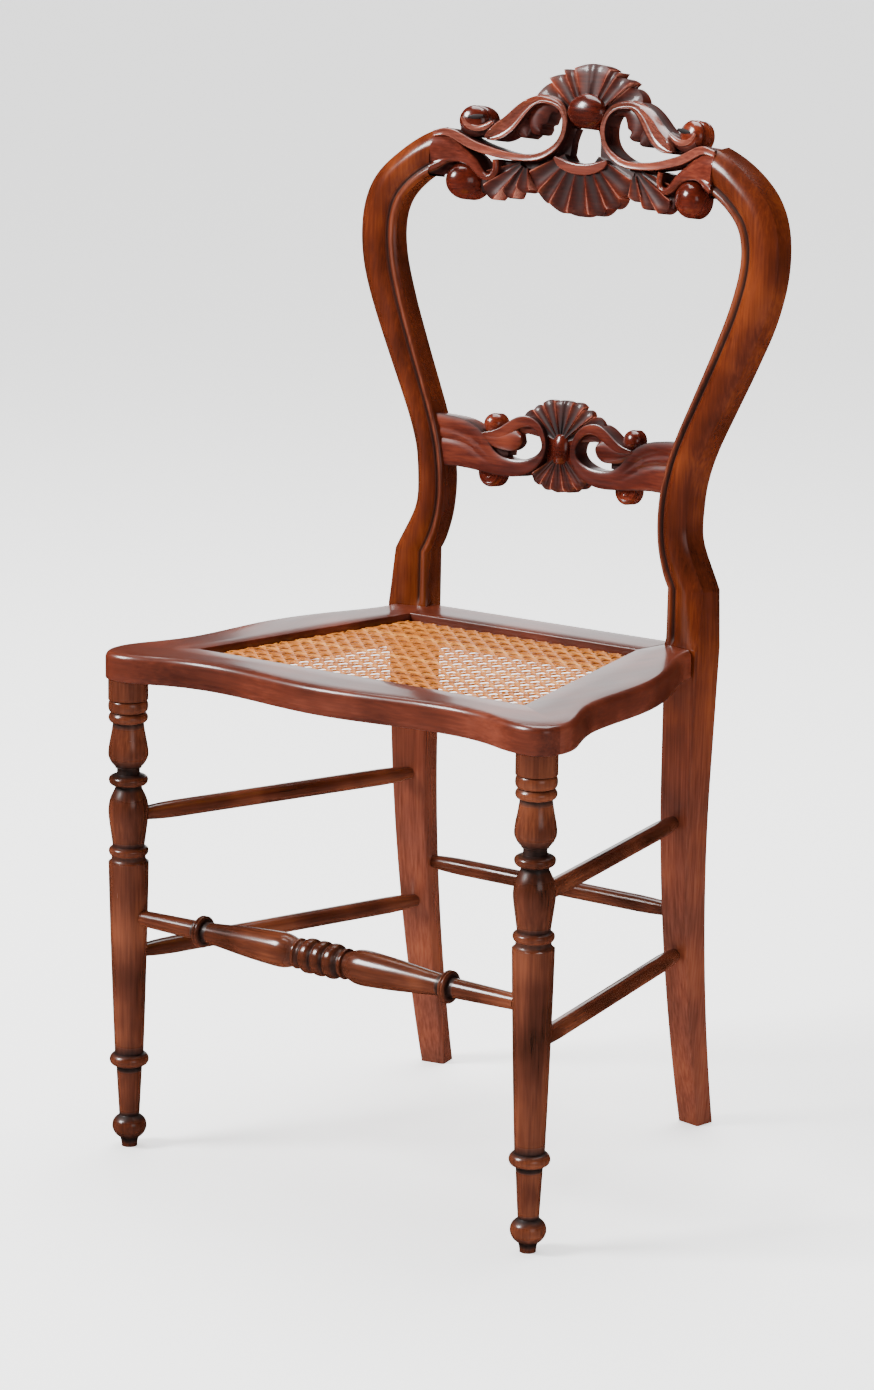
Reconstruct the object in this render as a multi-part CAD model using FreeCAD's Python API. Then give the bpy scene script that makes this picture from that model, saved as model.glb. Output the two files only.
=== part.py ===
"""A pierced-back side chair with a caned seat, built piece by piece in millimetres.

+Z is up, the front of the chair faces -Y and the origin is on the floor under the
middle of the chair's outline. Every depth is given as a set back from the front
edge of the seat, and every height from the floor, unless its comment says otherwise.
"""
import FreeCAD, Part
import math
import os

V = FreeCAD.Vector
X_AXIS = V(1, 0, 0)
Y_AXIS = V(0, 1, 0)
Z_AXIS = V(0, 0, 1)

# Overall sizes
overall_depth = 421.1      # front edge of the seat to the back of the crest
seat_height = 450.0        # floor to the top of the seat
post_face = 338.0          # set back of the back posts' front faces at the seat
glue_gap = 0.1             # radial room for glue round every round tenon and dowel
end_gap = 0.5              # room for glue at the bottom of a blind hole
overrun = 5.0              # how far a cutter runs past what it cuts
turned_sides = 20          # sides that stand for a round on the turned pieces

# Seat frame: four mitred rails round a caned opening
seat_half_width = 238.5
seat_thickness = 24.5
seat_top_round = 9.0
opening_front = 63.0       # set back of the opening's front edge
opening_back = 305.0
opening_front_half = 172.1
opening_back_half = 123.4
cane_rebate = 7.0          # depth of the rebate that the cane lies in
cane_ledge = 9.0           # width of the ledge under the cane's border
rear_rail_back = 356.0     # set back of the rear rail's back edge, between the posts
mitre_reach_share = 1.02   # the front mitres run at the seat's corners, of the half width
mitre_corner = 15.0        # set back of the point that the front mitres run at
corner_tongue_depth = 26.0
corner_tongue_thickness = 5.0
tongue_gap = 0.05

# Cane: a flat six-way net over the opening
cane_thickness = 2.0
cane_pitch = 23.1
cane_strand_pair = 8.4     # width of the solid cane between two gaps
cane_edge_gap = 0.3

# Front legs, turned
leg_set_back = 18.6
leg_inset = 22.7           # side of the seat to the leg's axis
leg_tenon_radius = 9.5
leg_tenon_length = 14.0
leg_collar_radius = 17.5

# Back posts, each sawn from one plank and turned in towards the sitter
post_inner_half = 129.2    # half the distance between the posts at the seat
post_turn = 10.5           # degrees that each post is turned in plan
post_width = 36.5          # at the widest of the balloon
post_depth = 32.0
post_seat_width = 39.5
post_foot_width = 24.0
post_foot_depth = 21.0
post_splay = 41.0          # how far the foot runs back behind the seat joint
post_rake = 29.0           # how far the top leans back
back_half_spread = 199.5   # middle of the post at the widest of the balloon
crest_joint = 150.0        # half the length of the crest rail
back_rise = 412.8          # seat top to the middle of the crest joint
shoulder_rise = 50.5       # seat top to the shoulder at the foot of the balloon
bead_share = 0.235         # share of a post's width that the inner bead takes
bead_fall = 3.2            # depth of the groove and of the bead's inner edge
roll_fall = 9.0            # how far the big roll falls back at the outer side

# Stretchers
stretcher_radius = 7.8
stretcher_end_radius = 5.9
stretcher_tenon = 14.0
stretcher_taper = 34.0
front_stretcher_taper = 13.0
upper_side_front_height = 302.5
upper_side_back_height = 291.0
lower_side_front_height = 178.0
lower_side_back_height = 166.5
back_stretcher_height = 204.0
front_stretcher_height = 212.0
front_stretcher_bead = 15.2    # radius of the middle beads and of the two vases
front_stretcher_dowel = 8.3
front_stretcher_end = 6.9

# Crest rail, sawn from a plank curved in plan and carved
crest_rise = 420.0         # seat top to the middle of the crest
crest_set_back = 383.5     # set back of its front face in the middle, at that height
crest_sag = 20.5           # how far the middle stands behind the two ends
crest_depth = 27.0
crest_rake = 7.4           # degrees
crest_ground = 7.0         # how far the fans lie behind the face of the scrolls
crest_boss_half = 16.5
crest_knob_radius = 14.5
crest_knob_sink = 5.0      # how far the knobs' rims lie behind the scrolls
crest_knob_stand = 4.0     # how far the knobs stand in front of the scrolls

# Middle rail
mid_half = 124.0           # half the chord that its curve is drawn over
mid_rise = 156.0           # seat top to the middle of the rail
mid_set_back = 359.0
mid_sag = 10.0
mid_depth = 20.0
mid_rake = 6.0
mid_ground = 5.0
mid_boss_half = 8.75
mid_ball_radius = 9.5
mid_volute_radius = 11.3
mid_knob_stand = 3.0
mid_tenon_reach = 128.0    # half the length over the tenons
mid_tenon_height = 26.0
mid_tenon_drop = 8.0       # how far the tenons' middle lies below the rail's
mid_tenon_thickness = 9.0

# Hidden slip tenons, loose flat bars glued in a mortise on both sides of a joint
crest_slip_half_length = 14.0
crest_slip_height = 22.0
crest_slip_thickness = 8.0
crest_slip_drop = 8.0      # how far its middle lies below the crest's
crest_slip_angle = 14.0     # degrees that it falls towards the post
seat_slip_half_length = 12.0
seat_slip_width = 26.0
seat_slip_thickness = 7.0


def depth(set_back):
    """The Y of a set back measured from the seat's front edge."""
    return set_back - overall_depth / 2


def polygon(points):
    """A face from corner points."""
    return Part.Face(Part.makePolygon(list(points) + [points[0]]))


def flip(shape):
    """The same piece for the other side of the chair."""
    return shape.mirror(V(0, 0, 0), X_AXIS)


def plan_slab(points, low, high):
    """A prism from a plan outline between two heights."""
    face = polygon([V(x, y, low) for x, y in points])
    return face.extrude(Z_AXIS * (high - low))


def flat_sided(rings):
    """A solid with flat sides between rings of points, closed by its first and last ring."""
    faces = [polygon(list(reversed(rings[0]))), polygon(rings[-1])]
    for low, high in zip(rings, rings[1:]):
        for index in range(len(low)):
            after = (index + 1) % len(low)
            faces.append(polygon([low[index], low[after], high[after], high[index]]))
    return Part.makeSolid(Part.makeShell(faces))


def turned(stations, base, axis):
    """A turned solid from (height, radius) stations, run from one end of its axis."""
    rings = []
    for height, radius in stations:
        rings.append([V(radius * math.cos(math.tau * side / turned_sides),
                        radius * math.sin(math.tau * side / turned_sides), height)
                      for side in range(turned_sides)])
    solid = flat_sided(rings)
    solid.Placement = FreeCAD.Placement(base, FreeCAD.Rotation(Z_AXIS, axis))
    return solid


def smooth(points, count):
    """Points at even steps along the smooth curve through the given points, with its run."""
    curve = Part.BSplineCurve()
    curve.interpolate(points)
    stations = []
    for place in curve.toShape().discretize(Number=count):
        stations.append((place, curve.tangent(curve.parameter(place))[0]))
    return stations


STROKE_FINE_COUNT = 4              # a stroke's widths are read from a curve this much finer


def stroke(points, widths, count):
    """A face in the XZ plane that follows a smooth line and swells and tapers.

    The widths are given at the points, and the ends are cut square.
    """
    line = smooth([V(x, 0, z) for x, z in points], count)
    last = len(points) - 1
    swell = smooth([V(index, 0, width) for index, width in enumerate(widths)], STROKE_FINE_COUNT * count)
    lengths = [0.0]
    for (x0, z0), (x1, z1) in zip(points, points[1:]):
        lengths.append(lengths[-1] + math.hypot(x1 - x0, z1 - z0))
    near = []
    far = []
    for index, (place, run) in enumerate(line):
        share = index / (count - 1) * lengths[-1]
        step = max(0, min(last - 1, sum(1 for length in lengths[1:] if length < share)))
        at = step + (share - lengths[step]) / (lengths[step + 1] - lengths[step])
        width = min(swell, key=lambda station: abs(station[0].x - at))[0].z
        side = V(-run.z, 0, run.x).normalize() * (width / 2)
        near.append(place + side)
        far.append(place - side)
    return polygon(near + list(reversed(far)))


def through(face, reach):
    """Runs an XZ face along Y, from in front of a carved rail to behind it."""
    solid = face.extrude(Y_AXIS * (2 * reach))
    solid.translate(V(0, -reach, 0))
    return solid


BOARD_COUNT = 15             # flat steps that stand for a board's curve
BOARD_REACH_SHARE = 1.2      # half a board's length, of the chord that its curve is drawn over


def curved_board(half, sag, front, back, tall):
    """A board that bends back in plan, from its face's depth at the middle to its back.

    The face's middle is at the origin, and both faces turn about one axis.
    """
    radius = (half * half + sag * sag) / (2 * sag)
    reach = math.asin(BOARD_REACH_SHARE * half / radius)
    turns = [reach * (2 * step / BOARD_COUNT - 1) for step in range(BOARD_COUNT + 1)]
    near = [V((radius + front) * math.sin(turn), (radius + front) * math.cos(turn) - radius,
              -tall / 2) for turn in turns]
    far = [V((radius + back) * math.sin(turn), (radius + back) * math.cos(turn) - radius,
             -tall / 2) for turn in turns]
    return polygon(near + list(reversed(far))).extrude(Z_AXIS * tall)


def petal(root, start, end, inner, reach, bulge):
    """A petal of a fan, between two angles from the upright, with a rounded tip."""
    def place(angle, radius):
        turn = math.radians(angle)
        return V(root[0] + radius * math.sin(turn), 0, root[1] + radius * math.cos(turn))
    middle = (start + end) / 2
    edges = [Part.LineSegment(place(start, inner), place(start, reach)).toShape(),
             Part.Arc(place(start, reach), place(middle, reach + bulge), place(end, reach)).toShape(),
             Part.LineSegment(place(end, reach), place(end, inner)).toShape(),
             Part.LineSegment(place(end, inner), place(start, inner)).toShape()]
    return Part.Face(Part.Wire(edges))


def face_depth(x, half, sag):
    """How far the face of a curved board stands in front of its middle, at x."""
    radius = (half * half + sag * sag) / (2 * sag)
    return math.sqrt(radius * radius - x * x) - radius


# Seat

SEAT_EDGE_SHARES = ((0.0, 0.022), (0.25, 0.039), (0.495, 0.059), (0.71, 0.038),
                    (0.865, 0.003), (0.965, 0.016), (1.0, 0.083), (0.962, 0.178),
                    (0.906, 0.281), (0.884, 0.414), (0.868, 0.574), (0.822, 0.71),
                    (0.746, 0.84), (0.697, 0.932), (0.681, 1.03))
SEAT_EDGE_COUNT = 45
SEAT_EDGE_LEVELS = ((0.0, 0.05), (0.06, 0.0), (0.78, 0.0), (0.91, 0.13), (1.0, 0.5))


def seat_outline():
    """The right half's outline in plan, as (point, outward direction) from the front middle."""
    points = [V(x * seat_half_width, depth(y * post_face), 0) for x, y in SEAT_EDGE_SHARES]
    left = [V(-point.x, point.y, 0) for point in reversed(points[1:])]
    stations = smooth(left + points, SEAT_EDGE_COUNT)
    return [(place, V(run.y, -run.x, 0).normalize()) for place, run in stations]


def seat_board():
    """The whole seat as one board with a rolled edge, before the opening and the joints.

    Each level is a share of the thickness and how far the edge is drawn in, as a
    share of the top's roll.
    """
    low = seat_height - seat_thickness
    back = depth(rear_rail_back)
    outline = seat_outline()
    wires = []
    for rise, draw in SEAT_EDGE_LEVELS:
        lift = Z_AXIS * (low + rise * seat_thickness)
        points = [place - out * (draw * seat_top_round) + lift for place, out in outline]
        points.append(V(outline[-1][0].x, back, lift.z))
        points.append(V(outline[0][0].x, back, lift.z))
        wires.append(Part.makePolygon(points + points[:1]))
    return Part.makeLoft(wires, True, True)


def opening_corners(inset):
    """The opening's corners in plan, drawn in by an inset on every side."""
    run = opening_back - opening_front
    slope = (opening_front_half - opening_back_half) / run
    side = inset * math.sqrt(1 + slope * slope)
    front_half = opening_front_half - slope * inset - side
    back_half = opening_back_half + slope * inset - side
    front = depth(opening_front + inset)
    back = depth(opening_back - inset)
    return [(-front_half, front), (front_half, front), (back_half, back), (-back_half, back)]


def mitres():
    """The two right-hand mitre lines in plan, from the opening's corner outwards."""
    corners = opening_corners(0)
    front = (corners[1], (mitre_reach_share * seat_half_width, depth(mitre_corner)))
    back = (corners[2], (post_inner_half, depth(post_face)))
    return front, back


def along(line, share):
    """A plan point on a line through two plan points, by share of its length."""
    (x0, y0), (x1, y1) = line
    return (x0 + (x1 - x0) * share, y0 + (y1 - y0) * share)


TONGUE_SHARES = (0.12, 0.56)
MITRE_CUT_SHARE = 2.5


def tongue_board(line, gap):
    """The loose tongue of one mitre, or its slot when it is given a gap."""
    start = V(*along(line, TONGUE_SHARES[0]), 0)
    end = V(*along(line, TONGUE_SHARES[1]), 0)
    run = end - start
    length = run.Length + 2 * gap
    wide = corner_tongue_depth + 2 * gap
    thick = corner_tongue_thickness + 2 * gap
    board = Part.makeBox(length, wide, thick, V(-gap, -wide / 2, -thick / 2))
    board.rotate(V(0, 0, 0), Z_AXIS, math.degrees(math.atan2(run.y, run.x)))
    board.translate(V(start.x, start.y, seat_height - cane_rebate / 2 - seat_thickness / 2))
    return board


def tongue_pairs(gap):
    """The four tongues, or their four slots."""
    right = [tongue_board(line, gap) for line in mitres()]
    return right + [flip(board) for board in right]


def seat_slips(room, spare):
    """The slip tenons between the side rails and the back posts, or their mortises."""
    long = 2 * (seat_slip_half_length + spare)
    wide = seat_slip_width + 2 * room
    thick = seat_slip_thickness + 2 * room
    slip = Part.makeBox(wide, long, thick, V((post_seat_width - wide) / 2, -long / 2, -thick / 2))
    slip.rotate(V(0, 0, 0), Z_AXIS, -post_turn)
    slip.translate(V(post_inner_half, depth(post_face), seat_height - seat_thickness / 2))
    return [slip, flip(slip)]


def seat_rails(posts):
    """The front, back, right and left rails, cut from the board with their joints."""
    low = seat_height - seat_thickness
    board = seat_board()
    board = board.cut(plan_slab(opening_corners(0), seat_height - cane_rebate, seat_height + overrun))
    board = board.cut(plan_slab(opening_corners(cane_ledge), low - overrun, seat_height))
    board = board.cut(posts)
    sockets = [leg_socket()]
    sockets.append(flip(sockets[0]))
    board = board.cut(sockets + tongue_pairs(tongue_gap) + seat_slips(glue_gap, end_gap))
    front_line, back_line = mitres()
    cuts = []
    front_far = along(front_line, MITRE_CUT_SHARE)
    corner = back_line[1]
    behind = depth(rear_rail_back) + overrun
    for line, rest in ((front_line, [front_far]),
                       (back_line, [corner, (corner[0] + overrun, corner[1]),
                                    (corner[0] + overrun, behind)])):
        right = [along(line, -1)] + rest
        left = [(-x, y) for x, y in reversed(right)]
        cuts.append(plan_slab(right + left, low - overrun, seat_height + overrun))
    front = board.common(cuts[0])
    back = board.common(cuts[1])
    sides = board.cut(cuts)
    half = Part.makeBox(overall_depth, 2 * overall_depth, seat_height * 2,
                        V(0, -overall_depth, 0))
    right = sides.common(half)
    return front, back, right, flip(right)


def cane_panel():
    """The cane as one flat net: a border and a grid of square gaps between strand pairs."""
    low = seat_height - cane_rebate
    outline = opening_corners(cane_edge_gap)
    gap = cane_pitch - cane_strand_pair
    inner = opening_corners(cane_ledge)
    front_y = inner[0][1]
    back_y = inner[2][1]
    rows = int((back_y - front_y) / cane_pitch)
    start = (front_y + back_y) / 2 - (rows - 1) / 2 * cane_pitch
    wires = [Part.makePolygon([V(x, y, low) for x, y in outline + outline[:1]])]
    for row in range(rows):
        y = start + row * cane_pitch
        share = (y + gap / 2 - front_y) / (back_y - front_y)
        half = inner[1][0] + (inner[2][0] - inner[1][0]) * share
        columns = int((half - gap / 2) / cane_pitch)
        for column in range(-columns, columns + 1):
            x = column * cane_pitch
            corners = [V(x + i * gap / 2, y + j * gap / 2, low)
                       for i, j in ((-1, -1), (-1, 1), (1, 1), (1, -1), (-1, -1))]
            wires.append(Part.makePolygon(corners))
    return Part.Face(wires).extrude(Z_AXIS * cane_thickness)


# Front legs, with (height share of the leg, radius share of its collar)

LEG_PROFILE_SHARES = ((0.0, 0.394), (0.0176, 0.474), (0.0324, 0.829), (0.0555, 0.846),
    (0.0677, 0.526), (0.1774, 0.651), (0.1897, 0.994), (0.2021, 0.72),
    (0.6157, 1.014), (0.6223, 0.851), (0.6289, 0.851), (0.6376, 0.994),
    (0.6463, 0.794), (0.7121, 0.994), (0.7427, 0.983), (0.772, 0.663),
    (0.777, 0.663), (0.7882, 0.983), (0.7981, 0.589), (0.8099, 0.577),
    (0.8141, 0.674), (0.8355, 0.977), (0.8555, 0.983), (0.9083, 0.76),
    (0.9184, 0.989), (0.9288, 0.869), (0.9368, 1), (0.9495, 1),
    (0.9558, 0.863), (0.9603, 1), (1, 1))


def leg_length():
    """The leg below its tenon, up to the seat's underside."""
    return seat_height - seat_thickness


def leg_axis(height):
    """A point on the right front leg's axis."""
    return V(seat_half_width - leg_inset, depth(leg_set_back), height)


def leg_radius(height):
    """The front leg's radius at a height, between its profile's stations."""
    share = height / leg_length()
    for (low, near), (high, far) in zip(LEG_PROFILE_SHARES, LEG_PROFILE_SHARES[1:]):
        if low <= share < high:
            radius = near + (far - near) * (share - low) / (high - low)
            return radius * leg_collar_radius
    return leg_collar_radius


def leg_socket():
    """The blind hole for the right front leg's tenon, in the seat's underside."""
    room = leg_tenon_radius + glue_gap
    return turned(((-overrun, room), (leg_tenon_length + end_gap, room)),
                  leg_axis(leg_length()), Z_AXIS)


def front_leg():
    """The right front leg with its round tenon, before the stretchers' sockets."""
    length = leg_length()
    stations = [(height * length, radius * leg_collar_radius)
                for height, radius in LEG_PROFILE_SHARES]
    stations += [(length, leg_tenon_radius), (length + leg_tenon_length, leg_tenon_radius)]
    return turned(stations, leg_axis(0), Z_AXIS)


# Back posts, with (x share, rise share, width share, depth share, rake share)

POST_SHARES = ((0.7404, 0.1223, 1.014, 1.0, 0.02), (0.6576, 0.218, 0.811, 1.02, 0.0),
               (0.6496, 0.2834, 0.803, 1.03, 0.03), (0.6677, 0.3561, 0.775, 1.03, 0.1),
               (0.7669, 0.4881, 0.825, 0.99, 0.324), (0.9058, 0.6408, 0.932, 0.94, 0.631),
               (0.985, 0.751, 1.01, 0.88, 0.834), (1.007, 0.8333, 0.997, 0.85, 0.962),
               (0.9654, 0.9157, 0.986, 0.85, 1.0), (0.8667, 0.9685, 0.907, 0.86, 0.985),
               (0.754, 1.0, 0.96, 0.875, 0.98), (0.6516, 1.021, 0.99, 0.875, 0.98))
POST_COUNT = 18              # sections along the balloon
SEAT_ROLL_SHARE = 0.2        # the roll falls back less where it dies out at the seat
SPLAY_START_SHARE = 0.733    # height where the leg starts to run back, of the seat's
SPLAY_BEND_SHARE = 1.9
FOOT_TUCK_SHARE = 0.115      # how far the foot runs in, of the splay
POST_TOP_SHARE = 0.85        # the crest joint is cut above this share of the rise


def moulded_section(middle, run, width, thick, rake, roll):
    """A post's section: inner bead, groove, big roll, and flat sides and back."""
    side = V(run.z, 0, -run.x)

    def place(across, back):
        return middle + side * (across - width / 2) + Y_AXIS * (rake + back)
    groove = bead_share * width
    points = [place(0, bead_fall), place(groove / 2, bead_fall / 6), place(groove, bead_fall),
              place((groove + width) / 2, 0), place(width, roll)]
    corner = [place(width, thick), place(0, thick)]
    edges = [Part.Arc(points[0], points[1], points[2]).toShape(),
             Part.Arc(points[2], points[3], points[4]).toShape(),
             Part.LineSegment(points[4], corner[0]).toShape(),
             Part.LineSegment(corner[0], corner[1]).toShape(),
             Part.LineSegment(corner[1], points[0]).toShape()]
    return Part.Wire(edges)


def post_balloon():
    """The curved upper part of the right post, above its shoulder."""
    face = depth(post_face)
    points = [V(x * back_half_spread, face, seat_height + z * back_rise)
              for x, z, _, _, _ in POST_SHARES]
    points[0] = V(post_inner_half + POST_SHARES[0][2] * post_width / 2, face,
                  seat_height + shoulder_rise)
    traits = [smooth([V(index, row[column], 0) for index, row in enumerate(POST_SHARES)],
                     POST_COUNT * STROKE_FINE_COUNT) for column in (2, 3, 4)]
    line = Part.BSplineCurve()
    line.interpolate(points)
    marks = [line.parameter(point) for point in points]
    sections = []
    for place, run in smooth(points, POST_COUNT):
        mark = line.parameter(place)
        step = max(0, sum(1 for value in marks[1:-1] if value < mark))
        at = step + (mark - marks[step]) / (marks[step + 1] - marks[step])
        width, thick, rake = [min(trait, key=lambda one: abs(one[0].x - at))[0].y
                              for trait in traits]
        sections.append(moulded_section(place, run if sections else Z_AXIS, width * post_width,
                                        thick * post_depth, rake * post_rake, roll_fall))
    return Part.makeLoft(sections, True, True)


def post_shoulder():
    """The short straight part between the seat and the shoulder."""
    face = depth(post_face)
    top_width = POST_SHARES[0][2] * post_width
    foot = moulded_section(V(post_inner_half + post_seat_width / 2, face, seat_height), Z_AXIS,
                           post_seat_width, post_depth, 0, roll_fall * SEAT_ROLL_SHARE)
    head = moulded_section(V(post_inner_half + top_width / 2, face, seat_height + shoulder_rise),
                           Z_AXIS, top_width, post_depth, POST_SHARES[0][4] * post_rake, roll_fall)
    return Part.makeLoft([foot, head], True, True)


SABRE_COUNT = 6              # points on each curve of the sabre leg


def splay_share(height):
    """How much of the foot's run back is reached at a height."""
    start = SPLAY_START_SHARE * seat_height
    if height >= start:
        return 0.0
    return (1 - height / start) ** SPLAY_BEND_SHARE


def post_leg():
    """The tapered sabre leg of the right post, from the floor to the seat's top."""
    start = SPLAY_START_SHARE * seat_height
    heights = [start * step / SABRE_COUNT for step in range(SABRE_COUNT + 1)]
    face = depth(post_face)

    def edge(points, top):
        curve = Part.BSplineCurve()
        curve.interpolate(points)
        return [curve.toShape(), Part.LineSegment(points[-1], top).toShape()]

    def width(height):
        return post_foot_width + (post_seat_width - post_foot_width) * height / seat_height

    def thick(height):
        return post_foot_depth + (post_depth - post_foot_depth) * height / seat_height

    def inner(height):
        return post_inner_half - FOOT_TUCK_SHARE * post_splay * splay_share(height)

    def front(height):
        return face + post_splay * splay_share(height)

    def outline(near, far, swap):
        first = edge([swap(near(h), h) for h in heights], swap(near(seat_height), seat_height))
        second = edge([swap(far(h), h) for h in heights], swap(far(seat_height), seat_height))
        head = Part.LineSegment(swap(near(seat_height), seat_height),
                                swap(far(seat_height), seat_height)).toShape()
        foot = Part.LineSegment(swap(near(0), 0), swap(far(0), 0)).toShape()
        return Part.Face(Part.Wire(first + [head] + list(reversed(second)) + [foot]))
    seen = outline(inner, lambda h: inner(h) + width(h), lambda a, h: V(a, 0, h))
    side = outline(front, lambda h: front(h) + thick(h), lambda a, h: V(0, a, h))
    return through(seen, overall_depth).common(side.extrude(X_AXIS * overall_depth))


def post_blank():
    """The right post, turned in plan, with its top end cut for the crest."""
    post = post_leg().fuse([post_shoulder(), post_balloon()]).removeSplitter()
    post.rotate(V(post_inner_half, depth(post_face), 0), Z_AXIS, -post_turn)
    low = seat_height + POST_TOP_SHARE * back_rise
    end = Part.makeBox(2 * crest_joint, 2 * overall_depth, back_rise,
                       V(-crest_joint, -overall_depth, low))
    return post.cut(end)


# Stretchers


def stretcher_ends():
    """Ends of the right side's two stretchers and of the back one, on the legs' surfaces.

    Each is (start, end), where the stretcher meets the first and the second leg.
    """
    pairs = []
    for near, far in ((upper_side_front_height, upper_side_back_height),
                      (lower_side_front_height, lower_side_back_height)):
        axis = leg_axis(near)
        target = post_point(0.5, 0.0, far)
        run = (target - axis).normalize()
        pairs.append((axis + run * leg_radius(near), target))
    inner = post_point(0.0, 0.5, back_stretcher_height)
    pairs.append((V(-inner.x, inner.y, inner.z), inner))
    return pairs


def post_point(across_share, back_share, height):
    """A point of the right post's lower leg, by shares of its width and its depth."""
    width = post_foot_width + (post_seat_width - post_foot_width) * height / seat_height
    thick = post_foot_depth + (post_depth - post_foot_depth) * height / seat_height
    splay = post_splay * splay_share(height)
    across = across_share * width - FOOT_TUCK_SHARE * splay
    back = splay + back_share * thick
    turn = math.radians(post_turn)
    return V(post_inner_half + across * math.cos(turn) + back * math.sin(turn),
             depth(post_face) - across * math.sin(turn) + back * math.cos(turn), height)


def plain_stretcher(start, end):
    """A plain stretcher with its two tenons, between two leg surfaces."""
    run = end - start
    length = run.Length
    thin = stretcher_end_radius
    stations = ((-stretcher_tenon, thin), (end_gap, thin), (stretcher_taper, stretcher_radius),
                (length - stretcher_taper, stretcher_radius), (length - end_gap, thin),
                (length + stretcher_tenon, thin))
    return turned(stations, start, run)


def stretcher_sockets(start, end, radius, tenon):
    """The two blind holes that a stretcher's tenons sit in."""
    run = end - start
    length = run.Length
    deep = tenon + end_gap
    room = radius + glue_gap
    return [turned(((-deep, room), (overrun, room)), start, run),
            turned(((length - overrun, room), (length + deep, room)), start, run)]


FRONT_STRETCHER_SHARES = ((0.0153, 1), (0.0297, 0.836), (0.0436, 0.993), (0.0737, 0.993),
    (0.089, 0.816), (0.1001, 0.737), (0.1094, 0.882), (0.1214, 0.882),
    (0.1242, 0.697), (0.1715, 0.961), (0.2502, 0.993), (0.3892, 0.849),
    (0.5913, 0.612), (0.6024, 0.921), (0.6089, 0.816), (0.6154, 0.921),
    (0.6274, 0.763), (0.6293, 0.553))


def front_stretcher_end_point():
    """Where the front stretcher meets the right front leg."""
    height = front_stretcher_height
    axis = leg_axis(height)
    return V(axis.x - leg_radius(height), axis.y, height)


def front_stretcher():
    """The turned stretcher between the front legs: three beads, two vases, two rings."""
    end = front_stretcher_end_point()
    half = [(x * leg_axis(0).x, r * front_stretcher_bead) for x, r in FRONT_STRETCHER_SHARES]
    half.append((end.x - front_stretcher_taper, front_stretcher_dowel))
    half.append((end.x - end_gap, front_stretcher_end))
    half.append((end.x + stretcher_tenon, front_stretcher_end))
    left = [(-x, r) for x, r in reversed(half)]
    return turned(left + half, V(0, end.y, end.z), X_AXIS)


# Crest rail, with its carving drawn flat about its middle, as shares of its half length


def crest_face(x):
    """How far the crest's face stands in front of its middle, at x."""
    return face_depth(x, crest_joint, crest_sag)


def crest_points(shares):
    """Crest drawing points from shares of its half length."""
    return [(x * crest_joint, z * crest_joint) for x, z in shares]


SCROLL_SHARES = ((1.06, 0.05, 0.05), (0.92, 0.043, 0.052), (0.74, -0.012, 0.05),
                 (0.58, -0.052, 0.048), (0.43, -0.055, 0.046), (0.3, -0.035, 0.044),
                 (0.2, 0.02, 0.038), (0.145, 0.1, 0.03), (0.14, 0.17, 0.03),
                 (0.175, 0.245, 0.036), (0.245, 0.288, 0.044), (0.33, 0.3, 0.05),
                 (0.42, 0.278, 0.075), (0.5, 0.225, 0.12), (0.56, 0.165, 0.13),
                 (0.61, 0.105, 0.115), (0.645, 0.058, 0.07), (0.664, 0.028, 0.02))
STEM_SHARES = ((1.06, -0.05, 0.245), (0.97, -0.052, 0.215), (0.89, -0.06, 0.16),
               (0.81, -0.075, 0.09), (0.745, -0.11, 0.073), (0.7, -0.155, 0.06),
               (0.665, -0.188, 0.05), (0.625, -0.195, 0.042), (0.592, -0.17, 0.04),
               (0.583, -0.125, 0.04), (0.59, -0.09, 0.04))
UPPER_STEM_SHARES = ((0.62, 0.13, 0.06), (0.7, 0.1, 0.08), (0.76, 0.085, 0.08),
                     (0.83, 0.11, 0.06))
HOOK_SHARES = ((0.22, 0.225, 0.06), (0.31, 0.22, 0.12), (0.36, 0.17, 0.15),
               (0.355, 0.13, 0.13), (0.3, 0.108, 0.04))
LOBE_SHARES = ((0.46, 0.21, 0.05), (0.455, 0.14, 0.09), (0.42, 0.085, 0.09), (0.4, 0.06, 0.03))
LEAF_SHARES = ((0.35, -0.17, 0.1), (0.43, -0.2, 0.16), (0.52, -0.207, 0.17),
               (0.58, -0.215, 0.15), (0.64, -0.25, 0.1), (0.72, -0.245, 0.1))
CRESCENT_SHARES = ((-0.175, -0.06, 0.03), (-0.1, -0.095, 0.062), (0.0, -0.108, 0.07),
                   (0.1, -0.095, 0.062), (0.175, -0.06, 0.03))
WEB_SHARES = ((0.12, 0.14, 0.09), (0.14, 0.06, 0.08), (0.155, -0.03, 0.09),
              (0.2, -0.09, 0.1), (0.28, -0.125, 0.09), (0.36, -0.14, 0.08))
UPPER_ROOT_SHARE = 0.16
UPPER_PETALS = ((-22.4, 22.4, 0.335, 0.03, 1.0), (22.4, 31.5, 0.362, 0.004, 0.7),
                (31.5, 46.0, 0.385, 0.008, 0.65), (46.0, 72.0, 0.355, 0.035, 0.9))
LOWER_ROOT_SHARE = -0.02
LOWER_RIBS = ((180.0, 0.355), (164.5, 0.355), (149.0, 0.362), (135.0, 0.37), (120.0, 0.385))
RIB_HALF_ANGLE = 8.5
RIB_SHARE = 0.046
RIB_ROOT_SHARE = 0.1         # where a rib starts, and how thin it is there
RIB_ROOT_WIDTH_SHARE = 0.015
RIB_SECTION_SHARES = ((-1.0, -0.6), (-1.0, 0.1), (-0.5, 0.8), (0.5, 0.8), (1.0, 0.1), (1.0, -0.6))
KNOB_SHARES = ((0.805, -0.21), (0.775, 0.165))
BOSS_SHARE = 0.235


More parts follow.
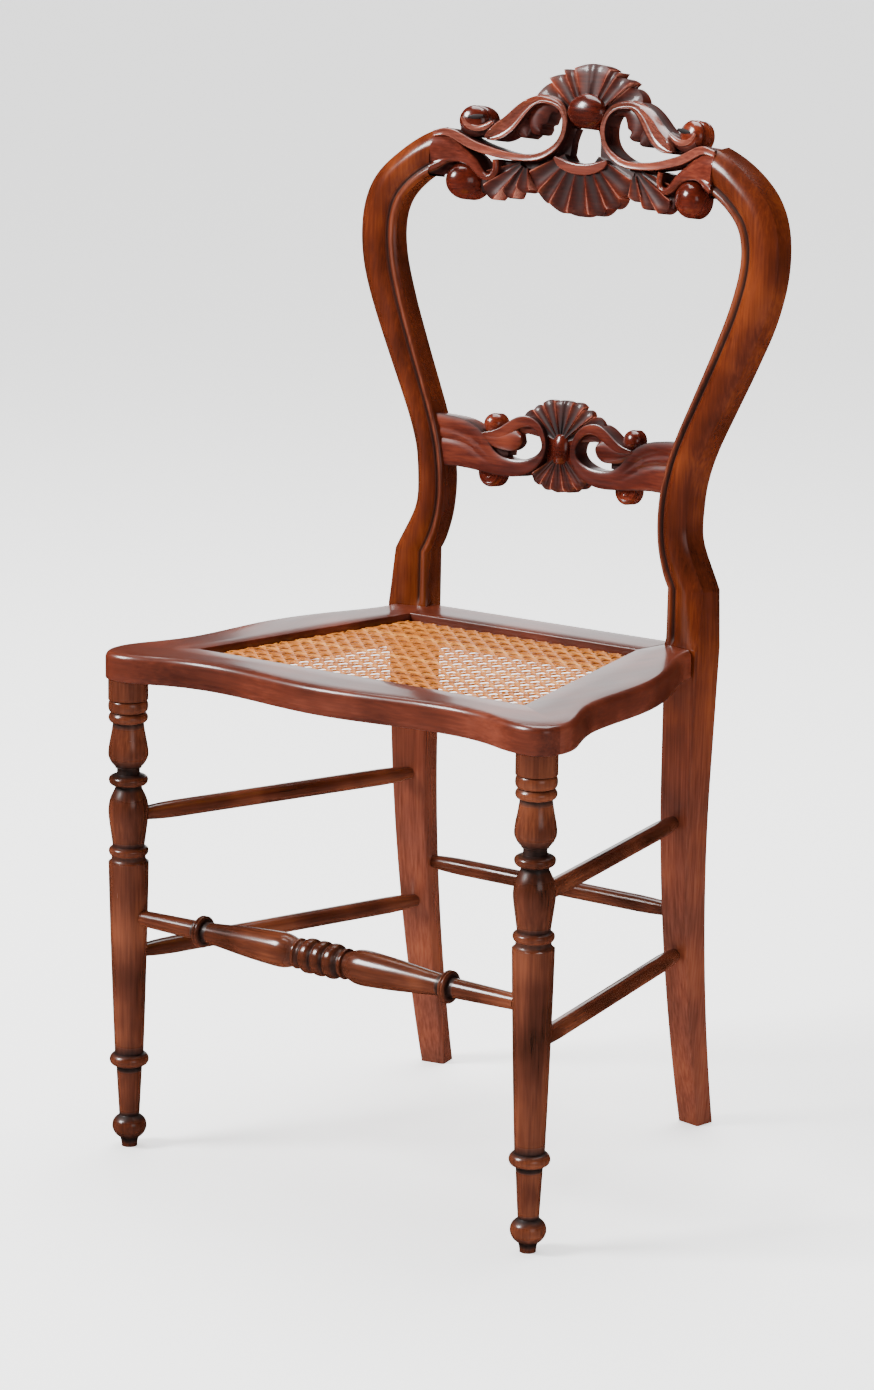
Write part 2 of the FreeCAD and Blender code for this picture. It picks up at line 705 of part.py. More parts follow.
def carved(face, half, sag, front, back):
    """Part of a carved rail with its face and its back at the given depths."""
    return through(face, half).common(curved_board(half, sag, front, back, 2 * half))


def shared_stroke(shares, unit):
    """A stroke whose points and widths are shares of one size."""
    points = [(x * unit, z * unit) for x, z, _ in shares]
    return stroke(points, [width * unit for _, _, width in shares], len(points))


DOME_SHARES = ((0.0, 1.0), (0.65, 0.82), (1.0, 0.3))
BACK_SHARE = 0.9             # knobs end within the rail's back


def button(x, z, radius, rim, stand, back):
    """A round knob, domed from the depth of its rim to its crown, in front of a rail."""
    stations = [(0, radius)]
    stations += [(back - rim + rise * stand, share * radius) for rise, share in DOME_SHARES]
    return turned(stations, V(x, back, z), -Y_AXIS)


def crest_piece(face, level):
    """A piece of the crest from its level, counted in crest grounds, to the back."""
    return carved(face, crest_joint, crest_sag, level * crest_ground, crest_depth)


def crest_side():
    """The right half's carving: scroll, stems, hook, lobes, leaf and knobs."""
    levels = ((SCROLL_SHARES, 0), (STEM_SHARES, 0), (UPPER_STEM_SHARES, 0.4),
              (HOOK_SHARES, 1), (LOBE_SHARES, 0.5), (LEAF_SHARES, 0.5), (WEB_SHARES, 1))
    pieces = [crest_piece(shared_stroke(shares, crest_joint), level)
              for shares, level in levels]
    for x, z in KNOB_SHARES:
        place = x * crest_joint
        face = face_depth(place, crest_joint, crest_sag)
        pieces.append(button(place, z * crest_joint, crest_knob_radius, face + crest_knob_sink,
                             crest_knob_sink + crest_knob_stand, face + BACK_SHARE * crest_depth))
    return pieces


def upper_fan(petals, root_share, unit, piece):
    """The petals above a rail's boss, both halves."""
    pieces = []
    root = (0, root_share * unit)
    for start, end, reach, bulge, level in petals:
        one = piece(petal(root, start, end, reach * unit / 10, reach * unit, bulge * unit), level)
        pieces.append(one)
        if start > 0:
            pieces.append(flip(one))
    return pieces


def crest_shell():
    """The ribbed shell that hangs below the crest's boss."""
    unit = crest_joint
    root = LOWER_ROOT_SHARE * unit
    inner = RIB_ROOT_SHARE * unit
    pieces = []
    for angle, reach in LOWER_RIBS:
        face = petal((0, root), angle - RIB_HALF_ANGLE, angle + RIB_HALF_ANGLE, inner,
                     reach * unit, RIB_SHARE * unit / 2)
        turn = math.radians(angle)
        out = V(math.sin(turn), 0, math.cos(turn))
        side = V(out.z, 0, -out.x)
        ends = []
        for share, size in ((RIB_ROOT_SHARE, RIB_ROOT_WIDTH_SHARE), (reach, RIB_SHARE)):
            middle = V(0, crest_ground, root) + out * (share * unit)
            middle.y += face_depth(middle.x, crest_joint, crest_sag)
            corners = [middle + side * (across * size * unit) - Y_AXIS * (rise * size * unit)
                       for across, rise in RIB_SECTION_SHARES]
            ends.append(corners)
        rib = flat_sided(ends)
        for piece in (crest_piece(face, 1), rib):
            pieces.append(piece)
            if angle < 180:
                pieces.append(flip(piece))
    return pieces


def place_crest(shape):
    """Leans the flat drawn crest back and sets it between the posts."""
    shape.rotate(V(0, crest_depth / 2, 0), X_AXIS, -crest_rake)
    shape.translate(V(0, depth(crest_set_back), seat_height + crest_rise))
    return shape


def crest_rail():
    """The whole crest, carved, pierced and cut to length between the posts."""
    right = crest_side()
    boss = button(0, BOSS_SHARE * crest_joint, crest_boss_half, crest_knob_sink,
                  crest_knob_sink + crest_knob_stand, BACK_SHARE * crest_depth)
    crescent = crest_piece(shared_stroke(CRESCENT_SHARES, crest_joint), 0)
    petals = upper_fan(UPPER_PETALS, UPPER_ROOT_SHARE, crest_joint, crest_piece)
    pieces = right + [flip(piece) for piece in right] + petals + crest_shell() + [boss, crescent]
    crest = place_crest(pieces[0].fuse(pieces[1:]))
    room = Part.makeBox(2 * crest_joint, 2 * overall_depth, 4 * crest_joint,
                        V(-crest_joint, -overall_depth, seat_height))
    return crest.common(room).cut(crest_slips(glue_gap, end_gap)).removeSplitter()


def crest_slips(room, spare):
    """The slip tenons between the posts and the crest, or their mortises."""
    long = 2 * (crest_slip_half_length + spare)
    high = crest_slip_height + 2 * room
    thick = crest_slip_thickness + 2 * room
    slip = Part.makeBox(long, thick, high, V(-long / 2, -thick / 2, -high / 2))
    slip.rotate(V(0, 0, 0), Y_AXIS, crest_slip_angle)
    slip.rotate(V(0, 0, 0), Z_AXIS, -post_turn)
    back = face_depth(crest_joint, crest_joint, crest_sag) + crest_depth / 2
    slip.translate(V(crest_joint, depth(crest_set_back) + back,
                     seat_height + crest_rise - crest_slip_drop))
    return [slip, flip(slip)]


# Middle rail, drawn flat about its middle as shares of its half length

MID_BAND_SHARES = ((1.06, -0.022, 0.37), (0.95, -0.024, 0.366), (0.84, -0.034, 0.35),
                   (0.72, -0.075, 0.3), (0.62, -0.125, 0.21), (0.52, -0.16, 0.15),
                   (0.42, -0.173, 0.13), (0.32, -0.165, 0.115), (0.22, -0.125, 0.09),
                   (0.153, -0.065, 0.06), (0.128, 0.0, 0.042), (0.142, 0.07, 0.046),
                   (0.185, 0.135, 0.058), (0.25, 0.172, 0.07), (0.32, 0.178, 0.08),
                   (0.4, 0.16, 0.085), (0.48, 0.118, 0.08), (0.56, 0.08, 0.06))
MID_LEAF_SHARES = ((0.31, 0.03, 0.12), (0.36, 0.042, 0.165), (0.42, 0.045, 0.175),
                   (0.5, 0.032, 0.155), (0.58, 0.03, 0.11), (0.64, 0.05, 0.05),
                   (0.66, 0.062, 0.015))
MID_WEB_SHARES = ((0.0, -0.17, 0.2), (0.0, -0.05, 0.24), (0.0, 0.08, 0.26), (0.0, 0.2, 0.24))
MID_SLOT_SHARES = ((0.45, -0.06, 0.06), (0.56, -0.05, 0.09), (0.66, -0.01, 0.12),
                   (0.72, 0.04, 0.12))
MID_HOLE_TOP_SHARES = ((0.17, 0.1, 0.06), (0.24, 0.115, 0.07), (0.33, 0.12, 0.07))
MID_UPPER_ROOT_SHARE = 0.048
MID_UPPER_PETALS = ((-16.5, 16.5, 0.3, 0.012, 0.8), (16.5, 30.0, 0.308, 0.008, 0.5),
                    (30.0, 47.0, 0.325, 0.01, 0.5), (47.0, 68.0, 0.335, 0.03, 0.8))
MID_LOWER_ROOT_SHARE = -0.032
MID_LOWER_PETALS = ((166.0, 194.0, 0.262, 0.016, 0.5), (146.0, 166.0, 0.272, 0.018, 0.7),
                    (125.0, 146.0, 0.29, 0.018, 0.9))
MID_BALL_SHARES = (0.605, 0.125)
MID_VOLUTE_SHARES = (0.597, -0.242)
MID_BOSS_SHARES = ((-0.113, 0.7), (-0.05, 1.0), (0.06, 1.0), (0.13, 0.75))


def mid_piece(face, level):
    """A piece of the middle rail from its level, in mid grounds, to the back."""
    return carved(face, mid_half, mid_sag, level * mid_ground, mid_depth)


def mid_side():
    """The right half's carving of the middle rail."""
    levels = ((MID_BAND_SHARES, 0), (MID_LEAF_SHARES, 0.5), (MID_SLOT_SHARES, 1.2),
              (MID_HOLE_TOP_SHARES, 1))
    pieces = [mid_piece(shared_stroke(shares, mid_half), level) for shares, level in levels]
    for shares, radius in ((MID_BALL_SHARES, mid_ball_radius),
                           (MID_VOLUTE_SHARES, mid_volute_radius)):
        x, z = [share * mid_half for share in shares]
        face = face_depth(x, mid_half, mid_sag)
        pieces.append(button(x, z, radius, face + mid_knob_stand, 2 * mid_knob_stand,
                             face + BACK_SHARE * mid_depth))
    return pieces


def mid_boss():
    """The upright barrel in the middle of the rail."""
    stations = [(rise * mid_half, share * mid_boss_half) for rise, share in MID_BOSS_SHARES]
    return turned(stations, V(0, mid_boss_half, 0), Z_AXIS)


def mid_rail(posts):
    """The middle rail, pierced and carved, with a tenon into each post."""
    right = mid_side()
    petals = upper_fan(MID_UPPER_PETALS, MID_UPPER_ROOT_SHARE, mid_half, mid_piece)
    for start, end, reach, bulge, level in MID_LOWER_PETALS:
        face = petal((0, MID_LOWER_ROOT_SHARE * mid_half), start, end, reach * mid_half / 10,
                     reach * mid_half, bulge * mid_half)
        petals += [mid_piece(face, level), flip(mid_piece(face, level))]
    web = mid_piece(shared_stroke(MID_WEB_SHARES, mid_half), 1)
    pieces = right + [flip(piece) for piece in right] + petals + [web, mid_boss()]
    rail = pieces[0].fuse(pieces[1:])
    rail.rotate(V(0, mid_depth / 2, 0), X_AXIS, -mid_rake)
    rail.translate(V(0, depth(mid_set_back), seat_height + mid_rise))
    return rail.cut(posts).fuse(mid_tenons(0, 0)).removeSplitter()


TENON_ROOT_SHARE = 0.85


def mid_tenons(room, spare):
    """The rail's two tenons, or their mortises."""
    reach = mid_tenon_reach + spare
    high = mid_tenon_height + 2 * room
    thick = mid_tenon_thickness + 2 * room
    middle = depth(mid_set_back) - mid_sag + mid_depth / 2
    corner = V(mid_half * TENON_ROOT_SHARE, middle - thick / 2,
               seat_height + mid_rise - mid_tenon_drop - high / 2)
    box = Part.makeBox(reach - corner.x, thick, high, corner)
    return [box, flip(box)]


# Building and writing the pieces


def main():
    """Builds every piece in its own place and writes one file for each."""
    blank = post_blank()
    blanks = Part.Compound([blank, flip(blank)])
    front, back, rail_right, rail_left = seat_rails(blanks)
    ends = stretcher_ends()
    side_sockets = []
    for start, end in ends[:2]:
        side_sockets += stretcher_sockets(start, end, stretcher_end_radius, stretcher_tenon)
    back_sockets = stretcher_sockets(ends[2][0], ends[2][1], stretcher_end_radius,
                                     stretcher_tenon)
    end = front_stretcher_end_point()
    front_sockets = stretcher_sockets(V(-end.x, end.y, end.z), end, front_stretcher_end,
                                      stretcher_tenon)
    leg = front_leg().cut(side_sockets + front_sockets)
    holes = crest_slips(glue_gap, end_gap) + mid_tenons(glue_gap, end_gap)
    holes += seat_slips(glue_gap, end_gap)
    post = blank.cut(side_sockets + back_sockets + holes)
    upper = plain_stretcher(*ends[0])
    lower = plain_stretcher(*ends[1])
    nodes = {
        "front_leg_right": leg,
        "front_leg_left": flip(leg),
        "back_post_right": post,
        "back_post_left": flip(post),
        "seat_rail_front": front,
        "seat_rail_back": back,
        "seat_rail_right": rail_right,
        "seat_rail_left": rail_left,
        "cane_seat": cane_panel(),
        "front_stretcher": front_stretcher(),
        "side_stretcher_upper_right": upper,
        "side_stretcher_upper_left": flip(upper),
        "side_stretcher_lower_right": lower,
        "side_stretcher_lower_left": flip(lower),
        "back_stretcher": plain_stretcher(*ends[2]),
        "crest_rail": crest_rail(),
        "mid_rail": mid_rail(blanks),
        "crest_slip_tenons": Part.Compound(crest_slips(0, 0)),
        "seat_slip_tenons": Part.Compound(seat_slips(0, 0)),
        "seat_corner_tongues": Part.Compound(tongue_pairs(0)),
    }
    os.makedirs("parts", exist_ok=True)
    for name, shape in nodes.items():
        solids = shape.Solids
        shape = solids[0] if len(solids) == 1 else Part.Compound(solids)
        box = shape.BoundBox
        print(name, len(solids), "valid", shape.isValid(), "volume", round(shape.Volume),
              "y", round(box.YMin, 1), round(box.YMax, 1), "z", round(box.ZMin, 1),
              round(box.ZMax, 1))
        shape.exportStep("parts/" + name + ".step")


main()
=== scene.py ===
import math

import bmesh
import bpy
import numpy as np
from mathutils import Matrix, Vector


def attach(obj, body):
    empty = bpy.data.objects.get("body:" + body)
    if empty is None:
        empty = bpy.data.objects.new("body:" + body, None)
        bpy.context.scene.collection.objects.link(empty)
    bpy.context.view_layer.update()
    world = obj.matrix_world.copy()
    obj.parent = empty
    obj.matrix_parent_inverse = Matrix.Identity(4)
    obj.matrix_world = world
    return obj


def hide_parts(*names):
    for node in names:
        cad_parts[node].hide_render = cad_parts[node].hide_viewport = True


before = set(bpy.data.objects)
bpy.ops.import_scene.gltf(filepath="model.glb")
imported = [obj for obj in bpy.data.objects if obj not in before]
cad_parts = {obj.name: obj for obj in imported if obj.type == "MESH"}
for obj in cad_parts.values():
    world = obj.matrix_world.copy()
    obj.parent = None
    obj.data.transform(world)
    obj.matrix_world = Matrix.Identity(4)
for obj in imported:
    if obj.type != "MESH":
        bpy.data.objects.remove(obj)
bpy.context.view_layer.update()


# Back posts
# Each post is sawn to its curve from one beech plank and runs from the floor to the crest.
# A bead and a broad roll, with a groove between them, are scraped along its front, and
# it is stained and polished to a warm orange brown with dark polish and painted shade
# left in the groove, and a painted highlight with wear along the bead's crown.

MM = 0.001
SEAT_TOP = 450.0
DEPTH = 421.1               # front edge of the seat to the back of the crest
POST_FACE = 338.0           # behind the front edge of the seat
POST_INNER = 129.2
POST_TURN = math.radians(10.5)
CREST_JOINT = 150.0         # the post's cut end, from the middle of the chair
CUT_ABOVE = 780.0           # the cut reaches no part of the post below this height
SHOULDER = 50.5             # above the seat
POST_LINE = (               # x, height above the seat, width, thickness, lean
    (147.7, 50.5, 37, 32, 0.6), (131.2, 90, 29.6, 32.6, 0),
    (129.6, 117, 29.3, 33, 0.9), (133.2, 147, 28.3, 33, 2.9),
    (152.7, 201.5, 30.1, 31.7, 9.4), (179.5, 264.5, 34.5, 30.1, 18.3),
    (194.5, 309, 37.5, 28.2, 24.2), (198.4, 342.5, 38, 27.2, 27.9),
    (190.4, 375.3, 37, 29.5, 29), (171.4, 396, 34.5, 32.5, 28.6),
    (150.2, 409.9, 35.5, 30.5, 28.4), (130, 418.2, 36.5, 28, 28.4))
SEAT_WIDTH, SEAT_THICK = 39.5, 32.0     # the post's section at the seat
FOOT_WIDTH, FOOT_THICK = 24.0, 21.0
SPLAY, SPLAY_TOP = 41.0, 329.9          # how far the foot runs back, and from what height,
SPLAY_IN = 0.115                        # and this share of it towards the other post
BEAD_SHARE = 0.235          # of the width
GROOVE_FALL, ROLL_FALL = 3.4, 9.0
EASED, ROUNDED = 1.6, 2.5   # the leg's front edges, and the corners at the back
LEG_RUB = 0.3               # how far shoes and brooms have scuffed the legs
CREASE = 35                 # an edge that turns by more degrees than this is sharp


def natural(marks, values):
    """The natural cubic curve through values at marks, as a function of a mark."""
    marks = np.asarray(marks, float)
    values = np.asarray(values, float)
    gaps = np.diff(marks)
    count = len(marks)
    matrix = np.eye(count)
    right = np.zeros_like(values)
    for i in range(1, count - 1):
        matrix[i, i - 1:i + 2] = gaps[i - 1], 2 * (gaps[i - 1] + gaps[i]), gaps[i]
        rise = (values[i + 1] - values[i]) / gaps[i]
        right[i] = 6 * (rise - (values[i] - values[i - 1]) / gaps[i - 1])
    bend = np.linalg.solve(matrix, right)

    def at(where):
        where = np.asarray(where, float)
        step = np.clip(np.searchsorted(marks, where, side="right") - 1, 0, count - 2)
        gap = gaps[step]
        far = (where - marks[step]) / gap
        shape = far.shape + (1,) * (values.ndim - 1)
        far, gap = far.reshape(shape), gap.reshape(shape)
        near = 1 - far
        flat = near * values[step] + far * values[step + 1]
        curve = (near ** 3 - near) * bend[step] + (far ** 3 - far) * bend[step + 1]
        return flat + curve * gap ** 2 / 6
    return at


def smooth_line(points, count):
    """Even steps along the smooth curve through points: places, runs and control marks."""
    points = np.asarray(points, float)
    marks = np.concatenate([[0], np.cumsum(np.linalg.norm(np.diff(points, axis=0), axis=1))])
    fine = np.linspace(0, marks[-1], 60 * len(points))
    places = natural(marks, points)(fine)
    length = np.concatenate([[0], np.cumsum(np.linalg.norm(np.diff(places, axis=0), axis=1))])
    even = np.linspace(0, length[-1], count)
    line = np.stack([np.interp(even, length, column) for column in places.T], 1)
    runs = np.gradient(line, axis=0)
    runs /= np.linalg.norm(runs, axis=1)[:, None]
    control = np.interp(np.interp(even, length, fine), marks, np.arange(len(points)))
    return line, runs, control


def skin(rings):
    """The faces over closed rings of equal length, numbered ring after ring, and both ends."""
    rows, around = len(rings), len(rings[0])
    faces = []
    for row in range(rows - 1):
        for i in range(around):
            j = (i + 1) % around
            faces.append((row * around + i, row * around + j,
                          (row + 1) * around + j, (row + 1) * around + i))
    faces.append(tuple(reversed(range(around))))
    faces.append(tuple(range((rows - 1) * around, rows * around)))
    return faces


def piece(name, parts, along, node, material, crease=CREASE):
    """One joined mesh, in metres, of (points, faces, darkness) parts given in millimetres.

    The grain runs along a direction. Each point's darkness is dark polish together with
    painted shade, and below zero it is how far the polish is rubbed through, painted
    paler as a highlight.
    """
    points, faces, glaze = [], [], []
    start = 0
    for spots, skins, dark in parts:
        spots = np.asarray(spots, float).reshape(-1, 3)
        points.append(spots)
        faces += [tuple(index + start for index in face) for face in skins]
        glaze.append(np.broadcast_to(np.asarray(dark, float).ravel(), len(spots)))
        start += len(spots)
    points = np.concatenate(points) * MM
    mesh = bpy.data.meshes.new(name)
    mesh.from_pydata(points.tolist(), [], faces)
    along = Vector(along).normalized()
    across = Vector((0, 1, 0)).cross(along).normalized()
    rays = np.array([along, across, along.cross(across)])
    grain = mesh.attributes.new("grain", "FLOAT_VECTOR", "POINT")
    grain.data.foreach_set("vector", (points @ rays.T).ravel())
    # The darkness mark: dark polish with painted shade above zero, and rubbed polish with a painted
    # highlight below zero.
    dark = mesh.attributes.new("glaze", "FLOAT", "POINT")
    dark.data.foreach_set("value", np.concatenate(glaze))
    shell = bmesh.new()
    shell.from_mesh(mesh)
    bmesh.ops.recalc_face_normals(shell, faces=shell.faces)
    shell.to_mesh(mesh)
    shell.free()
    mesh.shade_smooth()
    mesh.set_sharp_from_angle(angle=math.radians(crease))
    mesh.materials.append(material)
    made = bpy.data.objects.new(name, mesh)
    bpy.context.scene.collection.objects.link(made)
    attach(made, "root")
    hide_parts(node)
    return made


def linear(colour):
    """An sRGB hex colour as linear RGBA."""
    parts = [int(colour[i:i + 2], 16) / 255 for i in (1, 3, 5)]
    return [(c / 12.92 if c <= 0.04045 else ((c + 0.055) / 1.055) ** 2.4) for c in parts] + [1]


def add(material, kind, settings=None, **links):
    """Adds a node to a material, sets it up and links its inputs.

    An input goes by its name, or by its number as i0, i1 and so on. A node given for a
    link stands for its first output. The stops of a ramp are (place, hex colour) pairs.
    """
    made = material.node_tree.nodes.new("ShaderNode" + kind)
    for key, value in (settings or {}).items():
        if key == "stops":
            band = made.color_ramp.elements
            while len(band) < len(value):
                band.new(1.0)
            for element, (place, colour) in zip(band, value):
                element.position = place
                element.color = linear(colour)
        elif isinstance(key, int) or key in made.inputs:
            made.inputs[key].default_value = value
        else:
            setattr(made, key, value)
    for key, source in links.items():
        slot = int(key[1:]) if key[0] == "i" and key[1:].isdigit() else key.replace("_", " ")
        source = source.outputs[0] if hasattr(source, "outputs") else source
        material.node_tree.links.new(source, made.inputs[slot])
    return made


def new_material(name):
    """A material with no nodes in it yet."""
    made = bpy.data.materials.new(name)
    made.use_nodes = True
    made.node_tree.nodes.clear()
    return made


def per_metre(size):
    """The scale of a pattern from its size in millimetres."""
    return 1 / (size * MM)


def polished_mahogany(name, dark, middle, light, rubbed_and_highlit, glaze, roughness, coat=0.12):
    """Mahogany-stained beech under French polish: streaky brown, glossy, with dark polish and
    painted shade in hollows.

    The figure is 22 mm wide and 250 mm long, and the stain took in clouds of 71 mm. The
    pores are drawn 2 mm wide and 62 mm long, coarser than they are, so that they show.
    Edges that hands have rubbed are paler and pinker, and this colour also paints highlights
    on ridges and band faces. The clear coat is thin where dark polish and painted shade lie
    in a hollow.
    """
    made = new_material(name)
    grain = add(made, "Attribute", {"attribute_name": "grain"}).outputs["Vector"]
    broad = add(made, "Mapping", {"Scale": (per_metre(250), per_metre(22.22), per_metre(22.22))},
                Vector=grain)
    fine = add(made, "Mapping", {"Scale": (per_metre(62.5), per_metre(2.083), per_metre(2.083))},
               Vector=grain)
    figure = add(made, "TexNoise",
                 {"Scale": 1, "Detail": 4, "Roughness": 0.6, "Distortion": 0.15}, Vector=broad)
    pores = add(made, "TexNoise", {"Scale": 1, "Detail": 3, "Roughness": 0.55}, Vector=fine)
    cloud = add(made, "TexNoise", {"Scale": per_metre(71.43), "Detail": 2}, Vector=grain)
    banded = add(made, "Math", {"operation": "MULTIPLY", 1: 0.3}, i0=figure)
    streaked = add(made, "Math", {"operation": "MULTIPLY_ADD", 1: 0.25}, i0=pores, i2=banded)
    tone = add(made, "Math", {"operation": "MULTIPLY_ADD", 1: 0.5}, i0=cloud, i2=streaked)
    wood = add(made, "ValToRGB", {"stops": ((0.37, dark), (0.53, middle), (0.68, light))},
               i0=tone)
    # The darkness mark: dark polish with painted shade above zero, and rubbed polish with painted
    # highlights below zero.
    hollow = add(made, "Attribute", {"attribute_name": "glaze"}).outputs["Fac"]
    uneven = add(made, "Math", {"operation": "MULTIPLY_ADD", 1: 0.5, 2: 0.72}, i0=cloud)
    cover = add(made, "Math", {"operation": "MULTIPLY", "use_clamp": True}, i0=hollow, i1=uneven)
    # Painted highlight with wear: the paler, pinker rubbed colour where the mark is below zero.
    touched = add(made, "Math", {"operation": "MULTIPLY", 1: -1.7}, i0=pores)
    highlit_and_bare = add(made, "Math", {"operation": "MULTIPLY", "use_clamp": True}, i0=hollow, i1=touched)
    worn = add(made, "Mix", {"data_type": "RGBA", 7: linear(rubbed_and_highlit)}, i0=highlit_and_bare, i6=wood)
    # Painted shade with dark polish: the dark colour where the mark is above zero.
    colour = add(made, "Mix", {"data_type": "RGBA", 7: linear(glaze)},
                 i0=cover, i6=worn.outputs[2])
    gloss = add(made, "MapRange", {"To Min": roughness - 0.06, "To Max": roughness + 0.12},
                Value=figure)
    dulled = add(made, "Math", {"operation": "MULTIPLY_ADD", 1: 0.45}, i0=cover, i2=gloss)
    coat_left = add(made, "Math", {"operation": "MULTIPLY_ADD", 1: -0.8 * coat, 2: coat},
                    i0=cover)
    ripple = add(made, "Bump", {"Strength": 0.25, "Distance": 0.0004}, Height=streaked)
    body = add(made, "BsdfPrincipled",
               {"IOR": 1.5, "Specular IOR Level": 0.3, "Coat Roughness": 0.13, "Coat IOR": 1.5},
               Base_Color=colour.outputs[2], Roughness=dulled, Coat_Weight=coat_left,
               Normal=ripple)
    add(made, "OutputMaterial", Surface=body)
    return made


def splay(height):
    """How far the foot has run back at a height."""
    return SPLAY * max(0.0, 1 - height / SPLAY_TOP) ** 1.9


def moulding(share, roll):
    """How far the bead and roll fall back, at a share of the width from the inner edge."""
    if share <= BEAD_SHARE:
        swell = 1 - (2 * share / BEAD_SHARE - 1) ** 2
        return GROOVE_FALL * (1 - 0.85 * swell)
    rest = (share - BEAD_SHARE) / (1 - BEAD_SHARE)
    return GROOVE_FALL * max(0, 1 - 2.2 * rest) ** 2 + roll * max(0, rest - 0.45) ** 2 / 0.3


def post_section(width, thick, mould, roll):
    """A post's section as (across, back) points, with how dark each one is."""
    points, dark = [], []
    for share in np.linspace(0, 1, 30):
        corner = min(share, 1 - share) * width
        worn = EASED * max(0, 1 - corner / EASED) ** 2
        points.append((share * width, mould * moulding(share, roll) + (1 - mould) * worn))
        # Painted shade with dark polish in the groove by the bead, and a painted highlight with
        # wear on the bead's crown.
        dark.append(mould * (max(0, 1 - abs(share - BEAD_SHARE) * width / 2.2)
                             - 0.5 * max(0, 1 - abs(share - BEAD_SHARE / 2) / 0.05)))
    corner = [(ROUNDED * (1 - math.cos(bend)), thick - ROUNDED * (1 - math.sin(bend)))
              for bend in np.linspace(0.15, 1, 8) * math.pi / 2]
    points += [(width - inset, back) for inset, back in corner] + corner[::-1]
    return np.array(points), np.array(dark + [0] * 16)


def leg_size(height):
    """The post's width and thickness at a height below the seat."""
    share = height / SEAT_TOP
    return (FOOT_WIDTH + (SEAT_WIDTH - FOOT_WIDTH) * share,
            FOOT_THICK + (SEAT_THICK - FOOT_THICK) * share)


def set_post(spots):
    """Turns the right post's (across, back, height) points to where it stands."""
    across, back, height = np.moveaxis(np.asarray(spots, float), -1, 0)
    cos, sin = math.cos(POST_TURN), math.sin(POST_TURN)
    return np.stack([POST_INNER + across * cos + back * sin,
                     POST_FACE - DEPTH / 2 - across * sin + back * cos, height], -1)


def back_post():
    """The right post as one skin, from its foot to the crest joint."""
    rings, dark = [], []
    under = SEAT_TOP - 1
    for height in np.concatenate([np.linspace(0, SPLAY_TOP, 40), np.linspace(340, under, 8)]):
        spots, shade = post_section(*leg_size(height), 0, 0)
        rings.append([(x - SPLAY_IN * splay(height), splay(height) + y, height)
                      for x, y in spots])
        dark.append(shade - LEG_RUB * min(1, (under - height) / 200))
    first = POST_LINE[0]
    for rise in np.linspace(0.5, SHOULDER - 0.5, 12):
        share = rise / SHOULDER
        width = SEAT_WIDTH + (first[2] - SEAT_WIDTH) * share
        spots, shade = post_section(width, SEAT_THICK, min(1, rise / 6),
                                    ROLL_FALL * (0.2 + 0.8 * share))
        rings.append([(x, y + first[4] * share, SEAT_TOP + rise) for x, y in spots])
        dark.append(shade)
    line, runs, control = smooth_line([row[:2] for row in POST_LINE], 130)
    traits = natural(range(len(POST_LINE)), [row[2:] for row in POST_LINE])(control)
    for step, ((x, z), run, (width, thick, lean)) in enumerate(zip(line, runs, traits)):
        blend = min(1, step / 9)
        run = run * blend + (0, 1 - blend)
        run /= np.linalg.norm(run)
        spots, shade = post_section(width, thick, 1, ROLL_FALL)
        rings.append([(x - POST_INNER + run[1] * (across - width / 2), lean + back,
                       SEAT_TOP + z - run[0] * (across - width / 2)) for across, back in spots])
        dark.append(shade)
    return set_post(rings), skin(rings), np.array(dark)


def flip(part):
    """The same part for the other side of the chair."""
    spots, faces, dark = part
    return np.asarray(spots) * (-1, 1, 1), [tuple(reversed(face)) for face in faces], dark


def trim(made, side):
    """Cuts the top end of a post square where it meets the crest."""
    shell = bmesh.new()
    shell.from_mesh(made.data)
    top = [face for face in shell.faces if face.calc_center_median().z > CUT_ABOVE * MM]
    near = {edge for face in top for edge in face.edges}
    spots = {spot for face in top for spot in face.verts}
    cut = bmesh.ops.bisect_plane(shell, geom=list(spots) + list(near) + top,
                                 plane_co=(side * CREST_JOINT * MM, 0, 0),
                                 plane_no=(side, 0, 0), clear_inner=True)
    rim = [edge for edge in cut["geom_cut"] if isinstance(edge, bmesh.types.BMEdge)]
    bmesh.ops.holes_fill(shell, edges=rim)
    shell.to_mesh(made.data)
    shell.free()
    made.data.set_sharp_from_angle(angle=math.radians(CREASE))


# The fourth colour is the rubbed one, which also paints highlights, and the fifth is the dark
# polish, which also paints shade.
post_polish = polished_mahogany("French-polished mahogany stain on the posts", "#2f1108",
                                "#501f0e", "#703214", "#875040", "#100401", 0.2)
right_post = back_post()
for name, part, side in (("back_post_right", right_post, 1),
                         ("back_post_left", flip(right_post), -1)):
    trim(piece(name + "_wood", [part], (0, 0, 1), name, post_polish), side)


# Crest rail
# One curved beech plank, joined to the posts by slip tenons and pierced and carved with
# gouges: scrolled bands that end in leaves, a shell, a fan, four knobs and an egg-shaped
# boss. It is stained redder than the posts, with dark polish and painted shade in the cuts
# and rubbed edges painted paler as highlights.

CREST_HEIGHT = 870.0
CREST_BACK = 383.5          # its face's middle, behind the front edge of the seat
CREST_SAG = 20.5
CREST_THICK = 27.0
CREST_RAKE = math.radians(7.4)
CORNER_DARK, SIDE_DARK = 0.85, 0.15     # dark polish and painted shade at a band's foot, and on sawn sides


def bent(half, sag, thick, rake, height, back):
    """Turns flat (x, depth, z) carving points into points on a curved, raked rail."""
    radius = (half * half + sag * sag) / (2 * sag)

    def place(spots):
        spots = np.asarray(spots, float)
        x, deep, z = spots[..., 0], spots[..., 1], spots[..., 2]
        y = deep + np.sqrt(radius ** 2 - x ** 2) - radius - thick / 2
        return np.stack([x, back - DEPTH / 2 + thick / 2 + y * math.cos(rake) + z * math.sin(rake),
                         height + z * math.cos(rake) - y * math.sin(rake)], -1)
    return place


